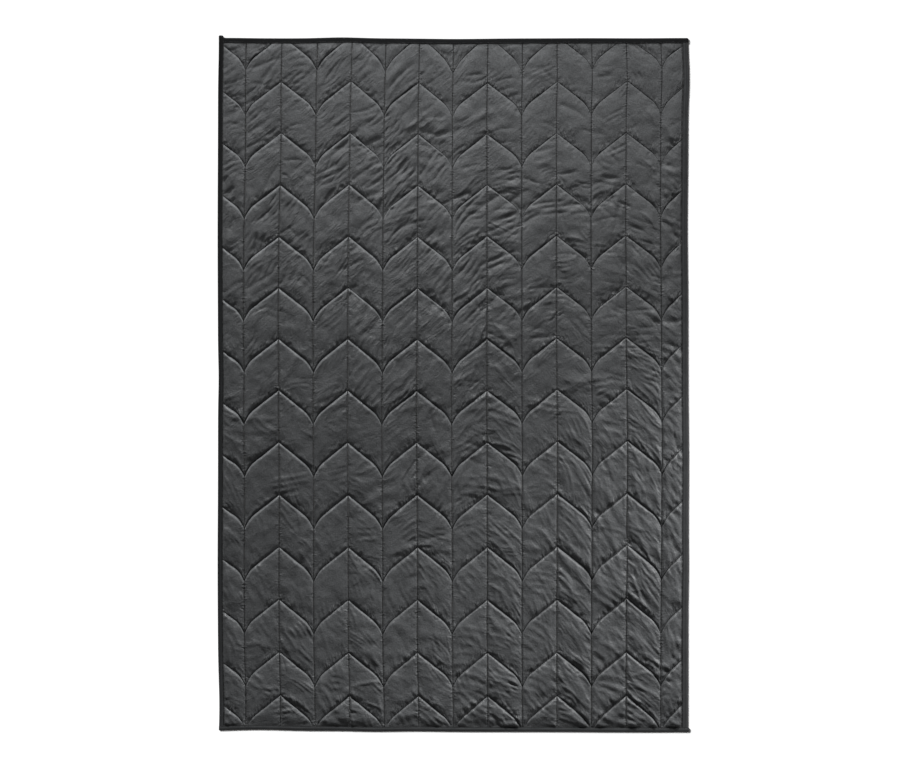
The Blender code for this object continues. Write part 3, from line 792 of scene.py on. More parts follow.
def add_margin_puckers(relief):
    """Short folds beside the right binding, below the head end."""
    chance = np.random.default_rng(PUCKER_SEED + 2)
    for _ in range(MARGIN_PUCKERS):
        x = chance.uniform(OUTER_SEAM + 0.005, HALF_WIDTH - TAPE_WIDTH["right"])
        y = chance.uniform(-HALF_LENGTH, MARGIN_PUCKERS_TO)
        angle, _, _, _ = wrinkle_lie(x, y)
        turn = math.radians(angle + 10.0 * chance.normal())
        height = MARGIN_HEIGHT * chance.uniform(0.4, 1.5) * chance.choice((1.0, -1.0))
        relief.add_stroke(x, y, turn, MARGIN_LENGTH * chance.uniform(0.5, 1.3), MARGIN_WIDTH, height)


def build_relief():
    relief = Relief()
    add_creases(relief)
    add_wrinkles(relief)
    add_leaf_puckers(relief)
    add_upright_puckers(relief)
    add_margin_puckers(relief)
    for seed, finest, coarsest, height in LUMPS:
        relief.add_noise(seed, finest, coarsest, height)
    return relief


def filling(u, v):
    weights = [bell(np.hypot(u - x, v - y), 0.0, reach) + 1e-6 for x, y, reach, _ in FILLINGS]
    return sum(weight * row[3] for weight, row in zip(weights, FILLINGS)) / sum(weights)


def swell(distance, full, roll, share, reach):
    """How far a pocket has risen towards its crown at a distance from one of its seams."""
    share = share * (0.1 + 0.9 * full)
    slow = shoulder(distance, reach * (1.5 - 0.5 * full))
    return share * shoulder(distance, roll, ROLL_POWER) + (1.0 - share) * slow


def face_height(u, v, relief):
    """Height of the upper face: pockets between sewn channels, with the creases on them."""
    full = filling(u, v)
    creases = relief.at(*warp(u, v))
    crown = 1.0
    for distance, (roll, share, reach, held, whole_from) in zip(seam_distances(u, v), POCKET_SIDES):
        crown = crown * swell(distance, full, roll, share, reach)
        creases = creases * (held + (1.0 - held) * smooth_step(distance / whole_from))
    height = SEAM_HEIGHT + (CROWN_HEIGHT - SEAM_HEIGHT) * crown * (SLACK_SHARE + FULL_SHARE * full)
    height = height - GROOVE_DEPTH * np.clip(1.0 - nearest_seam(u, v) / GROOVE_REACH, 0.0, 1.0)
    for edge, inward in edge_distances(u, v).items():
        height = EDGE_TOP + (height - EDGE_TOP) * shoulder(inward, EDGE_SHOULDERS[edge])
        creases = creases * smooth_step(inward / CREASES_IN)
    height = height + creases
    height = height - 0.5 * np.maximum(height - HIGH_FROM, 0.0)
    return np.clip(height, LEAST_HEIGHT, MOST_HEIGHT)


def back_height(u, v):
    """Height of the underside: flat on the floor, with a shallow channel at each seam."""
    height = UNDER_RISE * (1.0 - shoulder(nearest_seam(u, v), UNDER_REACH))
    for inward in edge_distances(u, v).values():
        height = EDGE_BOTTOM + (height - EDGE_BOTTOM) * shoulder(inward, UNDER_SHOULDER)
    return height


# ---- meshes ---------------------------------------------------------------------------------
def finish_piece(name, mesh, sharp_from, materials):
    """Shades a mesh, gives it its materials and puts it in the scene as a piece."""
    mesh.shade_smooth()
    mesh.set_sharp_from_angle(angle=math.radians(sharp_from))
    for material in materials:
        mesh.materials.append(material)
    piece = add_object(name, mesh)
    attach(piece, "root")
    return piece


def add_piece(name, points, quads, triangles, materials, face_materials=None, guides=None):
    """One piece from arrays of points, quads and triangles.

    worn gives each face's place in the list of materials. guides holds named vectors, one
    for each point, for the materials.
    """
    mesh = bpy.data.meshes.new(name)
    corners = np.concatenate([quads.ravel(), triangles.ravel()]).astype(np.int32)
    sizes = np.concatenate([np.full(len(quads), 4), np.full(len(triangles), 3)])
    starts = np.concatenate([[0], np.cumsum(sizes)[:-1]]).astype(np.int32)
    mesh.vertices.add(len(points))
    mesh.vertices.foreach_set("co", np.asarray(points, dtype=np.float32).ravel())
    mesh.loops.add(len(corners))
    mesh.loops.foreach_set("vertex_index", corners)
    mesh.polygons.add(len(sizes))
    mesh.polygons.foreach_set("loop_start", starts)
    if face_materials is not None:
        mesh.polygons.foreach_set("material_index", face_materials.astype(np.int32))
    mesh.update(calc_edges=True)
    mesh.validate()
    for title, vectors in (guides or {}).items():
        layer = mesh.attributes.new(title, "FLOAT_VECTOR", "POINT")
        layer.data.foreach_set("vector", vectors.astype(np.float32).ravel())
    return finish_piece(name, mesh, CLOTH_SHARP_FROM, materials)


def mesh_lines(low, high, stretch):
    """Mesh lines from one seam up to the next, which is left out, closer together by both."""
    near = stretch * np.array(SEAM_LINES)
    start, end = low + near[-1], high - near[-1]
    inner = np.linspace(start, end, round((end - start) / (OPEN_STEP * stretch)) + 1)
    return np.concatenate([[low], low + near[:-1], inner, high - near[-2::-1]])


def column_places():
    """u of the upright mesh lines, with every seam among them."""
    panels = round(2.0 * OUTER_SEAM / PANEL)
    seams = -OUTER_SEAM + PANEL * np.arange(panels + 1)
    middle = [mesh_lines(low, high, 1.0) for low, high in zip(seams, seams[1:])]
    margin = HALF_WIDTH - EDGE_INSET - OUTER_SEAM
    side = np.append(mesh_lines(0.0, margin, 1.0), margin)
    return np.concatenate([-OUTER_SEAM - side[:0:-1]] + middle + [OUTER_SEAM + side])


def row_places():
    """v, on a line of tips, of the mesh's rows, from the foot up."""
    rows = [mesh_lines(low, high, LEAF_LINES) for low, high in zip(TIPS, TIPS[1:])]
    return np.concatenate(rows + [TIPS[-1:]])


def cut_grid(columns, rows):
    """A grid of the pattern's columns and rows, cut straight at the head and foot edges.

    Gives u, v, quads, triangles and the rim as four lists of points, anticlockwise.
    """
    u = np.repeat(columns[:, None], len(rows), axis=1)
    v = rows[None, :] - leaf_drop(columns)[:, None]
    limit = HALF_LENGTH - EDGE_INSET
    v = np.where(v > limit - SNAP, limit, np.where(v < SNAP - limit, -limit, v))
    first = (v > -limit).argmax(axis=1) - 1
    last = (v >= limit).argmax(axis=1)
    step = np.clip(np.arange(len(rows))[None, :], first[:, None], last[:, None])
    index = np.arange(len(columns))[:, None] * len(rows) + step

    corners = np.stack([index[:-1, :-1], index[1:, :-1], index[1:, 1:], index[:-1, 1:]], axis=-1)
    corners = corners.reshape(-1, 4)
    left_shut = corners[:, 0] == corners[:, 3]
    right_shut = corners[:, 1] == corners[:, 2]
    quads = corners[~left_shut & ~right_shut]
    triangles = np.concatenate([corners[left_shut & ~right_shut][:, [0, 1, 2]],
                                corners[~left_shut & right_shut][:, [0, 1, 3]]])
    rim = [index[:, 0], index[-1, first[-1]:last[-1] + 1],
           index[::-1, -1], index[0, first[0]:last[0] + 1][::-1]]

    used = np.unique(np.concatenate([quads.ravel(), triangles.ravel()]))
    place = np.full(u.size, -1)
    place[used] = np.arange(len(used))
    return (u.ravel()[used], v.ravel()[used], place[quads], place[triangles],
            [place[side] for side in rim])


def zip_sides(upper, upper_at, lower, lower_at):
    """Triangles between two lines of points that run the same way, seen from outside."""
    triangles = []
    i = j = 0
    while i < len(upper) - 1 or j < len(lower) - 1:
        if j == len(lower) - 1 or (i < len(upper) - 1 and upper_at[i + 1] <= lower_at[j + 1] + 1e-9):
            triangles.append((lower[j], upper[i + 1], upper[i]))
            i += 1
        else:
            triangles.append((lower[j], lower[j + 1], upper[i]))
            j += 1
    return triangles


def every_few(lines):
    """Some of the mesh lines, with the last one among them."""
    return lines[np.unique(np.append(np.arange(0, len(lines), BACK_STRIDE), len(lines) - 1))]


def crushed_and_shaded_cloth(u, v, quads):
    """Each quad's place among the materials: 0 open cloth, 1 leaf seam, 2 upright seam. 1 and 2 are crushed
    pile darkened with painted shade, and 2 also lies beside the left and right tapes.
    """
    across, above, below = seam_distances(u, v)
    inward = edge_distances(u, v)
    upright = (across < ON_SEAM) | (np.minimum(inward["left"], inward["right"]) < BESIDE_TAPE)
    # faces on a seam, and beside the left and right tapes, take a darker cloth: crushed pile with painted
    # shade
    crushed_and_shaded = np.where(upright, 2, np.where(np.minimum(above, below) < ON_SEAM, 1, 0))
    face_materials = crushed_and_shaded[quads].max(axis=1)
    middle = (v + leaf_drop(u))[quads].mean(axis=1)
    up_to_seam = TIPS[np.clip(np.searchsorted(TIPS, middle), 0, len(TIPS) - 1)] - middle
    face_materials[(up_to_seam < UNDER_SEAM) & (face_materials == 1)] = 0
    return face_materials


def gather(distance, reach):
    """How strongly the stitches gather the cloth at a distance from their seam."""
    return np.exp(-(distance / reach) ** 1.5)


def cloth_guides(u, v):
    """What the materials need at each point: where it is, how gathered, and where the painted highlight and
    painted shade lie.
    """
    across, above, below = seam_distances(u, v)
    inward = edge_distances(u, v)
    # beside_leaf also sets where the painted shade above a leaf seam lies
    beside_leaf = np.maximum(gather(below, GATHER_ABOVE_LEAF), 0.35 * gather(above, GATHER_UNDER_LEAF))
    # painted highlight: lighter cloth just under each leaf seam
    painted_light = smooth_step((PAINTED_HIGHLIGHT_REACH - above) / PAINTED_HIGHLIGHT_EDGE)
    # painted shade beside the head and foot tapes
    painted_end_shade_mask = 1.0 - smooth_step(np.minimum(inward["head"], inward["foot"]) / END_PAINTED_SHADE_REACH)
    guides = {"leaf_side": (u, v + leaf_drop(u), beside_leaf),
              "upright_side": (u, v, gather(across, GATHER_UPRIGHT)),
              "painted_light_masks": (painted_light, painted_end_shade_mask, np.zeros_like(u))}
    return {title: np.stack(vector, axis=-1) for title, vector in guides.items()}


def build_quilt_piece(name, columns, relief, origin, materials):
    """A closed body of the quilt between two upright seams or an edge."""
    rows = row_places()
    u, v, quads, triangles, rim = cut_grid(columns, rows)
    back_u, back_v, back_quads, back_triangles, back_rim = cut_grid(every_few(columns), every_few(rows))
    both_u, both_v = np.concatenate([u, back_u]), np.concatenate([v, back_v])
    heights = np.concatenate([face_height(u, v, relief), back_height(back_u, back_v)])
    walls = []
    for side, (upper, lower) in enumerate(zip(rim, back_rim)):
        lower = lower + len(u)
        along = (both_u, both_v, -both_u, -both_v)[side]
        walls += zip_sides(upper, along[upper], lower, along[lower])

    face_materials = crushed_and_shaded_cloth(u, v, quads)
    quads = np.concatenate([quads, back_quads[:, ::-1] + len(u)])
    triangles = np.concatenate([triangles, back_triangles[:, ::-1] + len(u), np.array(walls)])
    face_materials = np.append(face_materials, np.zeros(len(quads) + len(triangles) - len(face_materials), int))
    guides = {title: np.concatenate([vectors, np.zeros((len(back_u), 3))])
              for title, vectors in cloth_guides(u, v).items()}
    points = in_frame(*warp(both_u, both_v), heights, origin)
    piece = add_piece(name, points, quads, triangles, materials, face_materials, guides)
    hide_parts("quilt")
    return piece


def build_quilt(relief, origin, materials):
    columns = column_places()
    cuts = [0] + [int(np.abs(columns - seam).argmin()) for seam in PIECE_SEAMS] + [len(columns) - 1]
    for number, (first, last) in enumerate(zip(cuts, cuts[1:]), 1):
        build_quilt_piece(f"quilt_part_{number}", columns[first:last + 1], relief, origin, materials)


# ---- stitches -------------------------------------------------------------------------------
def stitch_rows():
    """Lines of places (u, v) along every seam, one for each stitch, inside the binding."""
    lines = []
    low, high = -HALF_LENGTH + cover_line("foot"), HALF_LENGTH - cover_line("head")
    for seam in np.arange(-OUTER_SEAM, OUTER_SEAM + 0.5 * PANEL, PANEL):
        v = np.arange(low, high, STITCH_PITCH)
        lines.append((np.full_like(v, seam), v))
    left, right = -HALF_WIDTH + cover_line("left"), HALF_WIDTH - cover_line("right")
    fine = np.arange(left, right, 0.0005)
    for tip in TIPS[1:-1]:
        walked = np.append(0.0, np.cumsum(np.hypot(np.diff(fine), np.diff(leaf_drop(fine)))))
        u = np.interp(np.arange(0.0, walked[-1], STITCH_PITCH), walked, fine)
        v = tip - leaf_drop(u)
        inside = (v > low) & (v < high)
        lines.append((u[inside], v[inside]))
    return lines


def spindles(middles, directions):
    """Stitches: short rods pointed at both ends, each of six points and eight triangles."""
    directions = directions / np.linalg.norm(directions, axis=1, keepdims=True)
    aside = np.cross(directions, (0.0, 0.0, 1.0))
    up = np.cross(aside, directions) * STITCH_RADIUS
    aside = aside * STITCH_RADIUS
    ends = directions * (0.5 * STITCH_LENGTH)
    points = np.stack([middles - ends, middles + aside, middles + up,
                       middles - aside, middles - up, middles + ends], axis=1)
    shape = np.array([(0, 2, 1), (0, 3, 2), (0, 4, 3), (0, 1, 4), (5, 1, 2), (5, 2, 3), (5, 3, 4), (5, 4, 1)])
    triangles = shape[None, :, :] + 6 * np.arange(len(middles))[:, None, None]
    return points.reshape(-1, 3), triangles.reshape(-1, 3)


def add_stitches(name, lines, material):
    """One piece with a stitch at every point of these lines, each turned along its line."""
    directions = [np.gradient(line, axis=0) for line in lines]
    points, triangles = spindles(np.concatenate(lines), np.concatenate(directions))
    return add_piece(name, points, np.empty((0, 4), int), triangles, [material])


def build_seam_stitches(name, height_at, origin, material):
    lines = [in_frame(*warp(u, v), height_at(u, v), origin) for u, v in stitch_rows()]
    return add_stitches(name, lines, material)


# ---- binding --------------------------------------------------------------------------------
def tape_section(edge, slot_depth, squeeze, ripple):
    """Cross-section of the folded tape: distance in from its outer edge, and height."""
    width = TAPE_WIDTH[edge]
    middle = TAPE_HEIGHT / 2.0
    fold = [(TAPE_ROUND * (1.0 - math.cos(turn)), middle + middle * math.sin(turn))
            for turn in np.linspace(0.5 * math.pi, -0.5 * math.pi, 11)]
    stitched = width - TAPE_STITCH_IN
    beside = TAPE_HEIGHT - 0.3 * TAPE_STITCH_DIP
    top = [(width, TAPE_HEIGHT - 0.0002), (width - 0.0007, TAPE_HEIGHT), (stitched + 0.0006, beside),
           (stitched, TAPE_HEIGHT - TAPE_STITCH_DIP), (stitched - 0.0008, beside),
           (0.5 * (stitched + TAPE_ROUND), TAPE_HEIGHT + ripple)]
    under = [(inward, TAPE_HEIGHT - min(height, TAPE_HEIGHT)) for inward, height in reversed(top)]
    slot_end = width - slot_depth
    slot = [(width, TAPE_CLOTH), (slot_end, TAPE_CLOTH),
            (slot_end, TAPE_HEIGHT - TAPE_CLOTH), (width, TAPE_HEIGHT - TAPE_CLOTH)]
    return [(width / 2.0 + (inward - width / 2.0) * squeeze, middle + (height - middle) * squeeze)
            for inward, height in top + fold + under + slot]


def tape_place(edge, along, inward):
    """X and Y of a place on a tape, before the shift to the frame's origin."""
    line = edge_line(edge, along)
    if edge in ("left", "right"):
        return line + (inward if edge == "left" else -inward), along
    return along, line + (inward if edge == "foot" else -inward)


def quilt_reach(edge):
    """Where the quilt's own edge begins and ends along one side."""
    low, high = ("foot", "head") if edge in ("left", "right") else ("left", "right")
    half = HALF_WIDTH if edge in ("left", "right") else HALF_LENGTH
    corner = -half if edge in ("left", "foot") else half
    return edge_line(low, corner) + EDGE_INSET, edge_line(high, corner) - EDGE_INSET


def tape_ends():
    """Each tape's first and last place along its edge, and whether its last end is rounded."""
    left_tape = -HALF_WIDTH + 0.5 * TAPE_WIDTH["left"]
    right_tape = HALF_WIDTH - 0.5 * TAPE_WIDTH["right"]
    head_tape = HALF_LENGTH - 0.5 * TAPE_WIDTH["head"]
    foot_tape = -HALF_LENGTH + 0.5 * TAPE_WIDTH["foot"]
    over_foot = TAPE_WIDTH["foot"] + BUTT_GAP
    return {
        "left": (edge_line("foot", left_tape) + over_foot,
                 edge_line("head", left_tape) + LEFT_PAST_HEAD, True),
        "right": (edge_line("foot", right_tape) + over_foot,
                  edge_line("head", right_tape) - TAPE_WIDTH["head"] - BUTT_GAP, False),
        "head": (edge_line("left", head_tape) + TAPE_WIDTH["left"] + BUTT_GAP,
                 edge_line("right", head_tape) + HEAD_PAST_RIGHT, True),
        "foot": (edge_line("left", foot_tape), edge_line("right", foot_tape) + FOOT_PAST_RIGHT, True),
    }


def closed_end(end, slot_at, rounded):
    """Sections of a tape's end past the quilt, from the slot outwards, as tape_sections has them."""
    outward = 1.0 if end > slot_at else -1.0
    places = [(slot_at + outward * CLOSED_STEP, 1.0)]
    if rounded:
        places += [(end - outward * back, squeeze) for back, squeeze in END_ROUNDING]
    else:
        places.append((end, 1.0))
    return [(place, CLOSED_SLOT, squeeze) for place, squeeze in places]


def tape_sections(edge):
    """Where a tape's sections lie along it, each with its slot's depth and its squeeze."""
    first, last, round_last = tape_ends()[edge]
    low, high = quilt_reach(edge)
    open_from, open_to = max(first, low - SLOT_SLACK), min(last, high + SLOT_SLACK)
    count = math.ceil((open_to - open_from) / TAPE_STEP)
    depth = TAPE_WIDTH[edge] - FOLD_CLOTH
    sections = [(place, depth, 1.0) for place in np.linspace(open_from, open_to, count)]
    if first < open_from:
        sections = closed_end(first, open_from, False)[::-1] + sections
    if last > open_to:
        sections += closed_end(last, open_to, round_last)
    return sections


def tape_skin(name, points, quads):
    """A mesh with its two ends closed and every face turned outwards."""
    mesh = bpy.data.meshes.new(name)
    mesh.from_pydata(points, [], quads.tolist())
    skin = bmesh.new()
    skin.from_mesh(mesh)
    bmesh.ops.holes_fill(skin, edges=[edge for edge in skin.edges if edge.is_boundary], sides=0)
    bmesh.ops.triangulate(skin, faces=[face for face in skin.faces if len(face.verts) > 4])
    bmesh.ops.recalc_face_normals(skin, faces=skin.faces)
    skin.to_mesh(mesh)
    skin.free()
    return mesh


def build_tape(edge, origin, cloth, seed):
    """A folded tape along one edge, uneven between its fold and its stitches."""
    first, last, _ = tape_ends()[edge]
    bumps = np.random.default_rng(seed).standard_normal(int((last - first) / RIPPLE_PITCH) + 3)
    points, shares = [], []
    for place, slot_depth, squeeze in tape_sections(edge):
        ripple = RIPPLE_HEIGHT * np.interp((place - first) / RIPPLE_PITCH, np.arange(len(bumps)), bumps)
        section = tape_section(edge, slot_depth, squeeze, ripple)
        for inward, height in section:
            x, y = tape_place(edge, place, inward)
            points.append((x + origin[0], y + origin[1], height))
            shares.append(inward / TAPE_WIDTH[edge])
    sides = len(section)
    ring = np.arange(sides)
    after = (ring + 1) % sides
    base = np.arange(0, len(points) - sides, sides)[:, None]
    quads = np.stack([base + ring, base + after, base + sides + after, base + sides + ring], axis=-1)

    name = "binding_" + edge + "_tape"
    mesh = tape_skin(name, points, quads.reshape(-1, 4))
    mesh.attributes.new("inward", "FLOAT", "POINT").data.foreach_set("value", shares)
    piece = finish_piece(name, mesh, TAPE_SHARP_FROM, [cloth])
    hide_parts("binding_" + edge)
    return piece


def build_tape_stitches(origin, material):
    """Two lines of stitches along every tape, one on its upper and one on its lower side."""
    lines = []
    for edge, (first, last, _) in tape_ends().items():
        along = np.arange(first + 0.5 * STITCH_PITCH, last - TAPE_STITCH_STOP, STITCH_PITCH)
        x, y = tape_place(edge, along, TAPE_WIDTH[edge] - TAPE_STITCH_IN)
        lines += [in_frame(x, y, height, origin) for height in TAPE_STITCH_LEVELS]
    return add_stitches("binding_stitches", lines, material)


# ---- materials ------------------------------------------------------------------------------
class Nodes:
    """Short words for building one material's nodes."""

    def __init__(self, name):
        self.material = bpy.data.materials.new(name)
        self.material.use_nodes = True
        self.tree = self.material.node_tree
        self.shader = self.tree.nodes["Principled BSDF"]
        self.place = self.add("TexCoord").outputs["Object"]

    def add(self, kind, inputs=None, **settings):
        """A new node with its settings, and inputs as give() takes them."""
        node = self.tree.nodes.new("ShaderNode" + kind)
        for name, value in settings.items():
            setattr(node, name, value)
        self.give(node, inputs or {})
        return node

    def give(self, node, inputs):
        """Sets a node's inputs, each to a plain value or to another node's output."""
        for name, value in inputs.items():
            if isinstance(value, bpy.types.NodeSocket):
                self.tree.links.new(value, node.inputs[name])
            else:
                node.inputs[name].default_value = value

    def noise(self, size, stretch=(1.0, 1.0, 1.0), detail=2.0, roughness=0.5, turn=0.0, place=None):
        """Cloudy values about 0.5 whose features are about size across.

        stretch: how many times longer they are along each direction, which turn turns anticlockwise.
        """
        mapping = self.add("Mapping", {
            "Vector": place or self.place,
            "Rotation": (0.0, 0.0, math.radians(turn)),
            "Scale": [share * size for share in stretch],
        }, vector_type="TEXTURE")
        clouds = self.add("TexNoise", {"Vector": mapping.outputs["Vector"], "Scale": 1.0,
                                       "Detail": detail, "Roughness": roughness})
        return clouds.outputs["Fac"]

    def math(self, kind, first, second=0.0):
        return self.add("Math", {0: first, 1: second}, operation=kind).outputs[0]

    def times(self, whole, *others):
        for other in others:
            whole = self.math("MULTIPLY", whole, other)
        return whole

    def valleys(self, clouds):
        """Clouds folded up about their middle, so that thin valleys run through them."""
        return self.math("ABSOLUTE", self.math("SUBTRACT", clouds, 0.5))

    def spread(self, value, low, high, to_low, to_high):
        """The value carried evenly from one range to another, and no further."""
        node = self.add("MapRange", {"Value": value, "From Min": low, "From Max": high,
                                     "To Min": to_low, "To Max": to_high})
        return node.outputs["Result"]

    def shade(self, clouds, reach, contrast):
        """Clouds as a share of a colour: lighter and darker by contrast, reached this far from 0.5."""
        return self.spread(clouds, 0.5 - reach, 0.5 + reach, 1.0 - contrast, 1.0 + contrast)

    def parts(self, vector):
        return self.add("SeparateXYZ", {"Vector": vector}).outputs

    def given(self, title, kind="Vector"):
        """What the mesh holds under this title."""
        return self.add("Attribute", attribute_name=title).outputs[kind]

    def along(self, axis, stops):
        """A value that changes evenly from one place along X or Y to another."""
        (low, at_low), (high, at_high) = stops
        return self.spread(self.parts(self.place)[axis], low, high, at_low, at_high)

    def tinted(self, colour, share):
        """The colour, made lighter or darker by share."""
        return self.add("VectorMath", {0: colour, "Scale": share}, operation="SCALE").outputs["Vector"]

    def bump(self, height, rise, under=None):
        """The surface's direction where heights rise by this distance and strength, over another bump."""
        distance, strength = rise
        node = self.add("Bump", {"Height": height, "Distance": distance, "Strength": strength})
        if under is not None:
            self.give(node, {"Normal": under})
        return node.outputs["Normal"]


# The quilt's cloth: open, and with its pile crushed and darkened by painted shade along the stitches, most
# along upright seams
QUILT_CLOTHS = (
    # name, colour, size and strength of the pile's speckle, and whether it carries the painted highlight
    # under the leaf seams and the painted shade beside the end tapes
    ("quilt_cloth", (0.0640, 0.0666, 0.0692), 0.0036, 0.34, True),
    # the two seam cloths are darker: crushed pile with painted shade in the channels
    ("quilt_leaf_seam_shaded", (0.0310, 0.0323, 0.0339), 0.0055, 0.60, False),
    ("quilt_upright_seam_shaded", (0.0130, 0.0136, 0.0143), 0.0075, 2.40, False),
)
CLOTH_ROUGHNESS = ((0.1, 0.52), (0.85, 0.80))   # y and roughness: the nap is duller at the head
PAINTED_HIGHLIGHT_GAIN = ((-0.55, 0.85), (0.45, 0.00))     # x, and how much lighter the painted highlight makes the cloth
PAINTED_HIGHLIGHT_FADES = (                            # y, and how much of that the two ends keep
    ((-0.75, 0.25), (-0.15, 1.0)),
    ((0.35, 1.0), (0.90, 0.45)),
)
END_PAINTED_SHADE = 0.50                          # painted shade beside the head and foot tapes
DIP_PAINTED_SHADE = ((-0.2, 0.02), (0.9, 0.27))     # y, and how much painted shade darkens the cloth above a leaf seam
MOTTLE_SIZE = 0.034         # broad mottling, smaller patches in it, dents in the cloth and its pile
PATCH_SIZE = 0.008
DENT_SIZE = 0.0048
PILE_SIZE = 0.0009
CREASE_SIZE = 0.0085        # breadth of the fine creases
CREASE_BUMP = (0.0032, 1.0)     # distance and strength with which each layer of relief stands up
GATHER_BUMP = (0.0170, 1.0)
DENT_BUMP = (0.0014, 0.7)
PILE_BUMP = (0.0003, 0.5)       # also of the tape's ribs

# Fine creases too narrow for the mesh, in two directions
FINE_CREASES = (
    # turn, strength, from and to along X, from and to along Y (metres): where it grows
    (42.0, 1.35, 0.35, -0.05, -0.25, 0.35),
    (-52.0, 0.70, -0.30, 0.35, 0.55, 0.00),
)

# Short creases drawn in by the stitches. Their size along X and along Y, and their strength
GATHERS = {"leaf_side": (0.0090, 0.0300, 1.0), "upright_side": (0.0160, 0.0085, 0.4)}


def fine_creases(cloth):
    """Heights of thin, sharp creases, whose direction changes over the blanket."""
    place = cloth.parts(cloth.place)
    layers = []
    for turn, strength, from_x, to_x, from_y, to_y in FINE_CREASES:
        clouds = cloth.noise(CREASE_SIZE, stretch=(5.0, 1.0, 1.0), detail=3.0, turn=turn)
        across = cloth.spread(place["X"], from_x, to_x, 0.15 * strength, strength)
        along = cloth.spread(place["Y"], from_y, to_y, 0.30, 1.0)
        layers.append(cloth.times(cloth.valleys(clouds), across, along))
    here = cloth.spread(cloth.noise(0.055, detail=1.0), 0.42, 0.62, 0.15, 1.0)
    return cloth.times(cloth.math("ADD", *layers), here)


def gathers(cloth):
    """Heights of the gathered cloth beside the seams, with thin valleys."""
    layers = []
    for title, (along_x, along_y, strength) in GATHERS.items():
        given = cloth.given(title)
        clouds = cloth.noise(1.0, stretch=(along_x, along_y, 1000.0), place=given)
        layers.append(cloth.times(cloth.valleys(clouds), cloth.parts(given)["Z"], strength))
    here = cloth.spread(cloth.noise(0.045, detail=1.0), 0.35, 0.60, 0.10, 1.0)
    return cloth.times(cloth.math("ADD", *layers), here)


def painted_light_tone(cloth):
    """Painted highlight under the leaf seams, and painted shade beside the end tapes."""
    painted_light_masks = cloth.parts(cloth.given("painted_light_masks"))
    fades = [cloth.along("Y", stops) for stops in PAINTED_HIGHLIGHT_FADES]
    painted_highlight = cloth.times(cloth.along("X", PAINTED_HIGHLIGHT_GAIN), painted_light_masks["X"], *fades)
    painted_end_shade = cloth.times(painted_light_masks["Y"], END_PAINTED_SHADE)
    return cloth.times(cloth.math("ADD", 1.0, painted_highlight), cloth.math("SUBTRACT", 1.0, painted_end_shade))


def quilt_material(name, colour, grain, speckle, painted_light):
    """Short-pile microfibre: mottled where the nap lies over, with a soft sheen, and painted shade above the
    leaf seams; with its last argument set, also a painted highlight under them and painted shade beside the
    end tapes.
    """
    cloth = Nodes(name)
    mottle = cloth.shade(cloth.noise(MOTTLE_SIZE, detail=3.0), 0.2, 0.10)
    patches = cloth.shade(cloth.noise(PATCH_SIZE, stretch=(1.0, 1.6, 1.0), detail=3.0), 0.25, 0.10)
    pile = cloth.shade(cloth.noise(grain, roughness=0.7), 0.25, speckle)
    # painted shade in the dip above each leaf seam
    in_painted_dip = cloth.spread(cloth.parts(cloth.given("leaf_side"))["Z"], 0.22, 0.95, 0.0, 1.0)
    dip_painted_shade = cloth.times(in_painted_dip, cloth.along("Y", DIP_PAINTED_SHADE))
    tone = cloth.times(mottle, patches, cloth.math("MAXIMUM", pile, 0.1), cloth.math("SUBTRACT", 1.0, dip_painted_shade))
    # painted highlight under the leaf seams and painted shade beside the end tapes
    if painted_light:
        tone = cloth.times(tone, painted_light_tone(cloth))
    creases = cloth.bump(gathers(cloth), GATHER_BUMP, cloth.bump(fine_creases(cloth), CREASE_BUMP))
    dents = cloth.bump(cloth.noise(DENT_SIZE, detail=3.0, roughness=0.6), DENT_BUMP, creases)
    cloth.give(cloth.shader, {
        "Base Color": cloth.tinted(colour, tone),
        "Roughness": cloth.along("Y", CLOTH_ROUGHNESS),
        "Specular IOR Level": 0.50,
        "Sheen Weight": 0.15,
        "Sheen Roughness": 0.45,
        "Normal": cloth.bump(cloth.noise(PILE_SIZE, detail=1.0), PILE_BUMP, dents),
    })
    return cloth.material


# The same tape on every side: its tones differ only by painted light and shade, darkest at the head and on
# the left
TAPE_LIT_COLOURS = {
    "head": (0.0080, 0.0084, 0.0090),
    "foot": (0.0400, 0.0416, 0.0432),
    "left": (0.0180, 0.0188, 0.0196),
    "right": (0.0400, 0.0416, 0.0432),
}
LEFT_TAPE_PAINTED_SHADE = ((-1.0, 1.9), (1.0, 0.3))     # y and share: painted shade, the left tape is darker at the head
TAPE_RIB = 0.0012
TAPE_LIGHT_BANDS = (
    # share of the way in from the outer edge, and of the colour there: painted shade on the rounded outer
    # edge and at the inner edge, painted highlights on two ridges
    (0.00, 0.62),
    (0.20, 1.10),
    (0.46, 0.74),
    (0.70, 1.22),
    (0.90, 1.00),
    (1.00, 0.40),
)


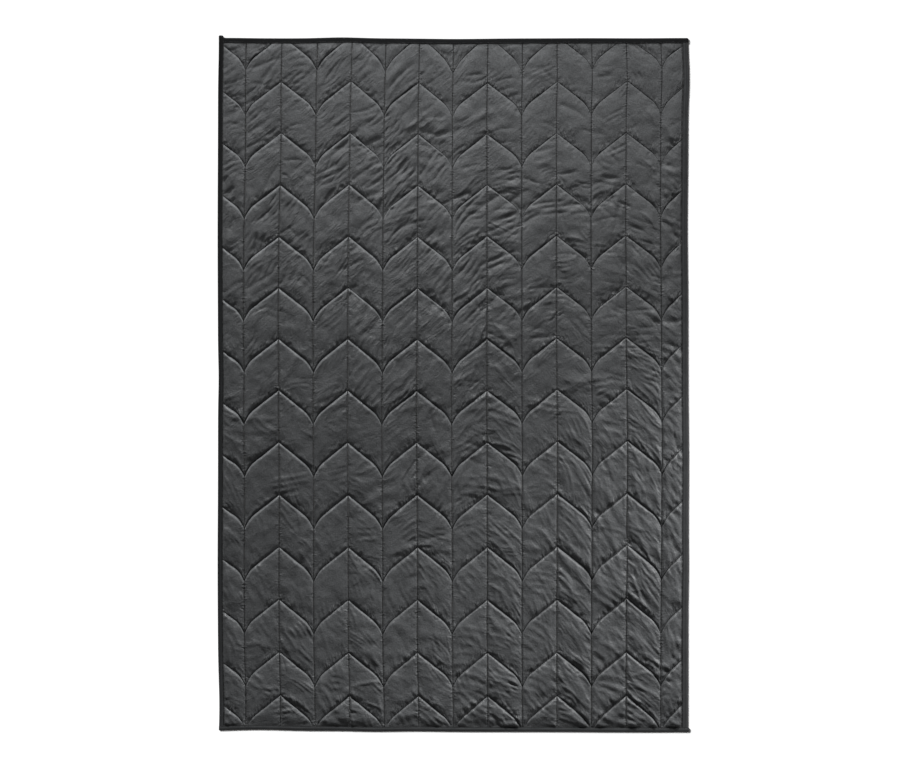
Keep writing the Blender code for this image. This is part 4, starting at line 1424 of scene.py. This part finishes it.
def tape_material(edge):
    """Woven tape, its fine ribs across it; its tone per side, its bands along it and the left one's fade are
    painted light and shade.
    """
    cloth = Nodes("tape_" + edge)
    stretch = (8.0, 1.0, 1.0) if edge in ("left", "right") else (1.0, 8.0, 1.0)
    ribs = cloth.noise(TAPE_RIB, stretch=stretch, detail=1.0)
    light_bands = cloth.add("ValToRGB", {"Fac": cloth.given("inward", "Fac")})
    for place, share in TAPE_LIGHT_BANDS[1:-1]:
        light_bands.color_ramp.elements.new(place)
    for stop, (place, share) in zip(light_bands.color_ramp.elements, TAPE_LIGHT_BANDS):
        stop.position = place
        stop.color = (share, share, share, 1.0)
    tone = cloth.times(cloth.shade(ribs, 0.25, 0.16), cloth.shade(cloth.noise(0.035), 0.2, 0.10),
                       light_bands.outputs["Color"])
    if edge == "left":
        tone = cloth.times(tone, cloth.along("Y", LEFT_TAPE_PAINTED_SHADE))
    cloth.give(cloth.shader, {"Base Color": cloth.tinted(TAPE_LIT_COLOURS[edge], tone), "Roughness": 0.80,
                              "Specular IOR Level": 0.12, "Normal": cloth.bump(ribs, PILE_BUMP)})
    return cloth.material


THREAD_COLOURS = {
    "thread_face": (0.0100, 0.0108, 0.0120),
    "thread_back": (0.050, 0.052, 0.055),
    "thread_binding": (0.020, 0.021, 0.023),
}


def thread_material(name):
    thread = Nodes(name)
    twist = thread.shade(thread.noise(0.0008, detail=1.0), 0.3, 0.2)
    thread.give(thread.shader, {"Base Color": thread.tinted(THREAD_COLOURS[name], twist), "Roughness": 0.6})
    return thread.material


# ---- scene ----------------------------------------------------------------------------------
IMAGE_WIDTH = 2.5965        # metres across the picture at the blanket
IMAGE_CENTRE = (-0.0078, 0.0039)    # on the blanket, before the shift to the frame's origin
CAMERA_HEIGHT = 12.0
SENSOR = 36.0
FLOOR_SIZE = 40.0
FLOOR_LEVEL = -0.0002
FLOOR_COLOUR = (0.92, 0.92, 0.92)
SPOTS = {
    # aim x and y, azimuth (clockwise from the head end), elevation, distance, size, cone,
    # power, and how many times wider than high the beam is
    "key": (0.0, -1.3, -2.0, 18.0, 14.0, 1.0, 8.0, 16600.0, 4.0),       # low, from the head end
    "head": (-0.05, 2.08, -4.0, 50.0, 6.0, 0.5, 29.0, 2060.0, 1.0),     # fades out by the middle
    "side": (0.42, -1.00, 42.0, 16.0, 3.0, 0.22, 42.0, 350.0, 1.0),     # rakes the foot end
}
GROUND_LIGHT = (-48.0, 34.0, 6.2, 20.0)     # azimuth, elevation, strength, spread
AMBIENT = 0.11


def add_light(light, azimuth, elevation, things):
    """Turns a light to shine from there, on these things alone, which everything still shades."""
    lamp = add_object(light.name, light)
    lamp.rotation_euler = (math.radians(90.0 - elevation), 0.0, math.radians(180.0 - azimuth))
    group = bpy.data.collections.new("lit_by_" + light.name)
    for thing in things:
        group.objects.link(thing)
    lamp.light_linking.receiver_collection = group
    return lamp


def add_spot(name, things):
    """A soft-edged spot, at its distance from where it aims."""
    aim_x, aim_y, azimuth, elevation, distance, size, cone, power, width = SPOTS[name]
    spot = bpy.data.lights.new(name, "SPOT")
    spot.shadow_soft_size = size
    spot.energy = power
    spot.spot_size = math.radians(cone)
    spot.spot_blend = 1.0
    lamp = add_light(spot, azimuth, elevation, things)
    turn, rise = math.radians(azimuth), math.radians(elevation)
    reach, height = distance * math.cos(rise), distance * math.sin(rise)
    lamp.location = (aim_x + reach * math.sin(turn), aim_y + reach * math.cos(turn), height)
    lamp.scale = (width, 1.0, 1.0)


def add_ground_light(floor):
    azimuth, elevation, strength, spread = GROUND_LIGHT
    sun = bpy.data.lights.new("ground", "SUN")
    sun.energy = strength
    sun.angle = math.radians(spread)
    add_light(sun, azimuth, elevation, [floor])


def add_floor():
    mesh = bpy.data.meshes.new("floor")
    half = 0.5 * FLOOR_SIZE
    corners = [(-half, -half), (half, -half), (half, half), (-half, half)]
    mesh.from_pydata([(x, y, FLOOR_LEVEL) for x, y in corners], [], [(0, 1, 2, 3)])
    paint = Nodes("floor_paint")
    shade = paint.shade(paint.noise(0.6), 0.2, 0.01)
    paint.give(paint.shader, {"Base Color": paint.tinted(FLOOR_COLOUR, shade), "Roughness": 0.9,
                              "Specular IOR Level": 0.0})
    mesh.materials.append(paint.material)
    floor = add_object("floor", mesh)
    return floor


def set_up_scene(origin):
    scene = bpy.context.scene
    lens = bpy.data.cameras.new("camera")
    lens.sensor_width = SENSOR
    lens.lens = SENSOR * CAMERA_HEIGHT / IMAGE_WIDTH
    lens.clip_end = 100.0
    camera = add_object("camera", lens)
    camera.location = (IMAGE_CENTRE[0] + origin[0], IMAGE_CENTRE[1] + origin[1], CAMERA_HEIGHT)
    scene.camera = camera

    world = bpy.data.worlds.new("studio")
    world.use_nodes = True
    world.node_tree.nodes["Background"].inputs["Color"].default_value = (1.0, 1.0, 1.0, 1.0)
    world.node_tree.nodes["Background"].inputs["Strength"].default_value = AMBIENT
    scene.world = world
    scene.view_settings.view_transform = "Standard"

    pieces = [thing for thing in scene.objects if thing.type == "MESH"]
    for name in SPOTS:
        add_spot(name, pieces)
    add_ground_light(add_floor())


def main():
    for thing in list(bpy.data.objects):
        bpy.data.objects.remove(thing, do_unlink=True)
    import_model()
    places = np.linspace(-1.0, 1.0, 4001)
    origin = (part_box("binding_left")[0][0] - float(edge_line("left", places).min()),
              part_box("binding_foot")[0][1] - float(edge_line("foot", places * HALF_WIDTH).min()))

    relief = build_relief()
    build_quilt(relief, origin, [quilt_material(*cloth) for cloth in QUILT_CLOTHS])
    build_seam_stitches("seam_stitches_face", lambda u, v: face_height(u, v, relief) + FACE_STITCH_RISE,
                        origin, thread_material("thread_face"))
    build_seam_stitches("seam_stitches_back", lambda u, v: back_height(u, v) - BACK_STITCH_DROP,
                        origin, thread_material("thread_back"))
    for seed, edge in enumerate(TAPE_WIDTH, 21):
        build_tape(edge, origin, tape_material(edge), seed)
    build_tape_stitches(origin, thread_material("thread_binding"))
    set_up_scene(origin)


main()
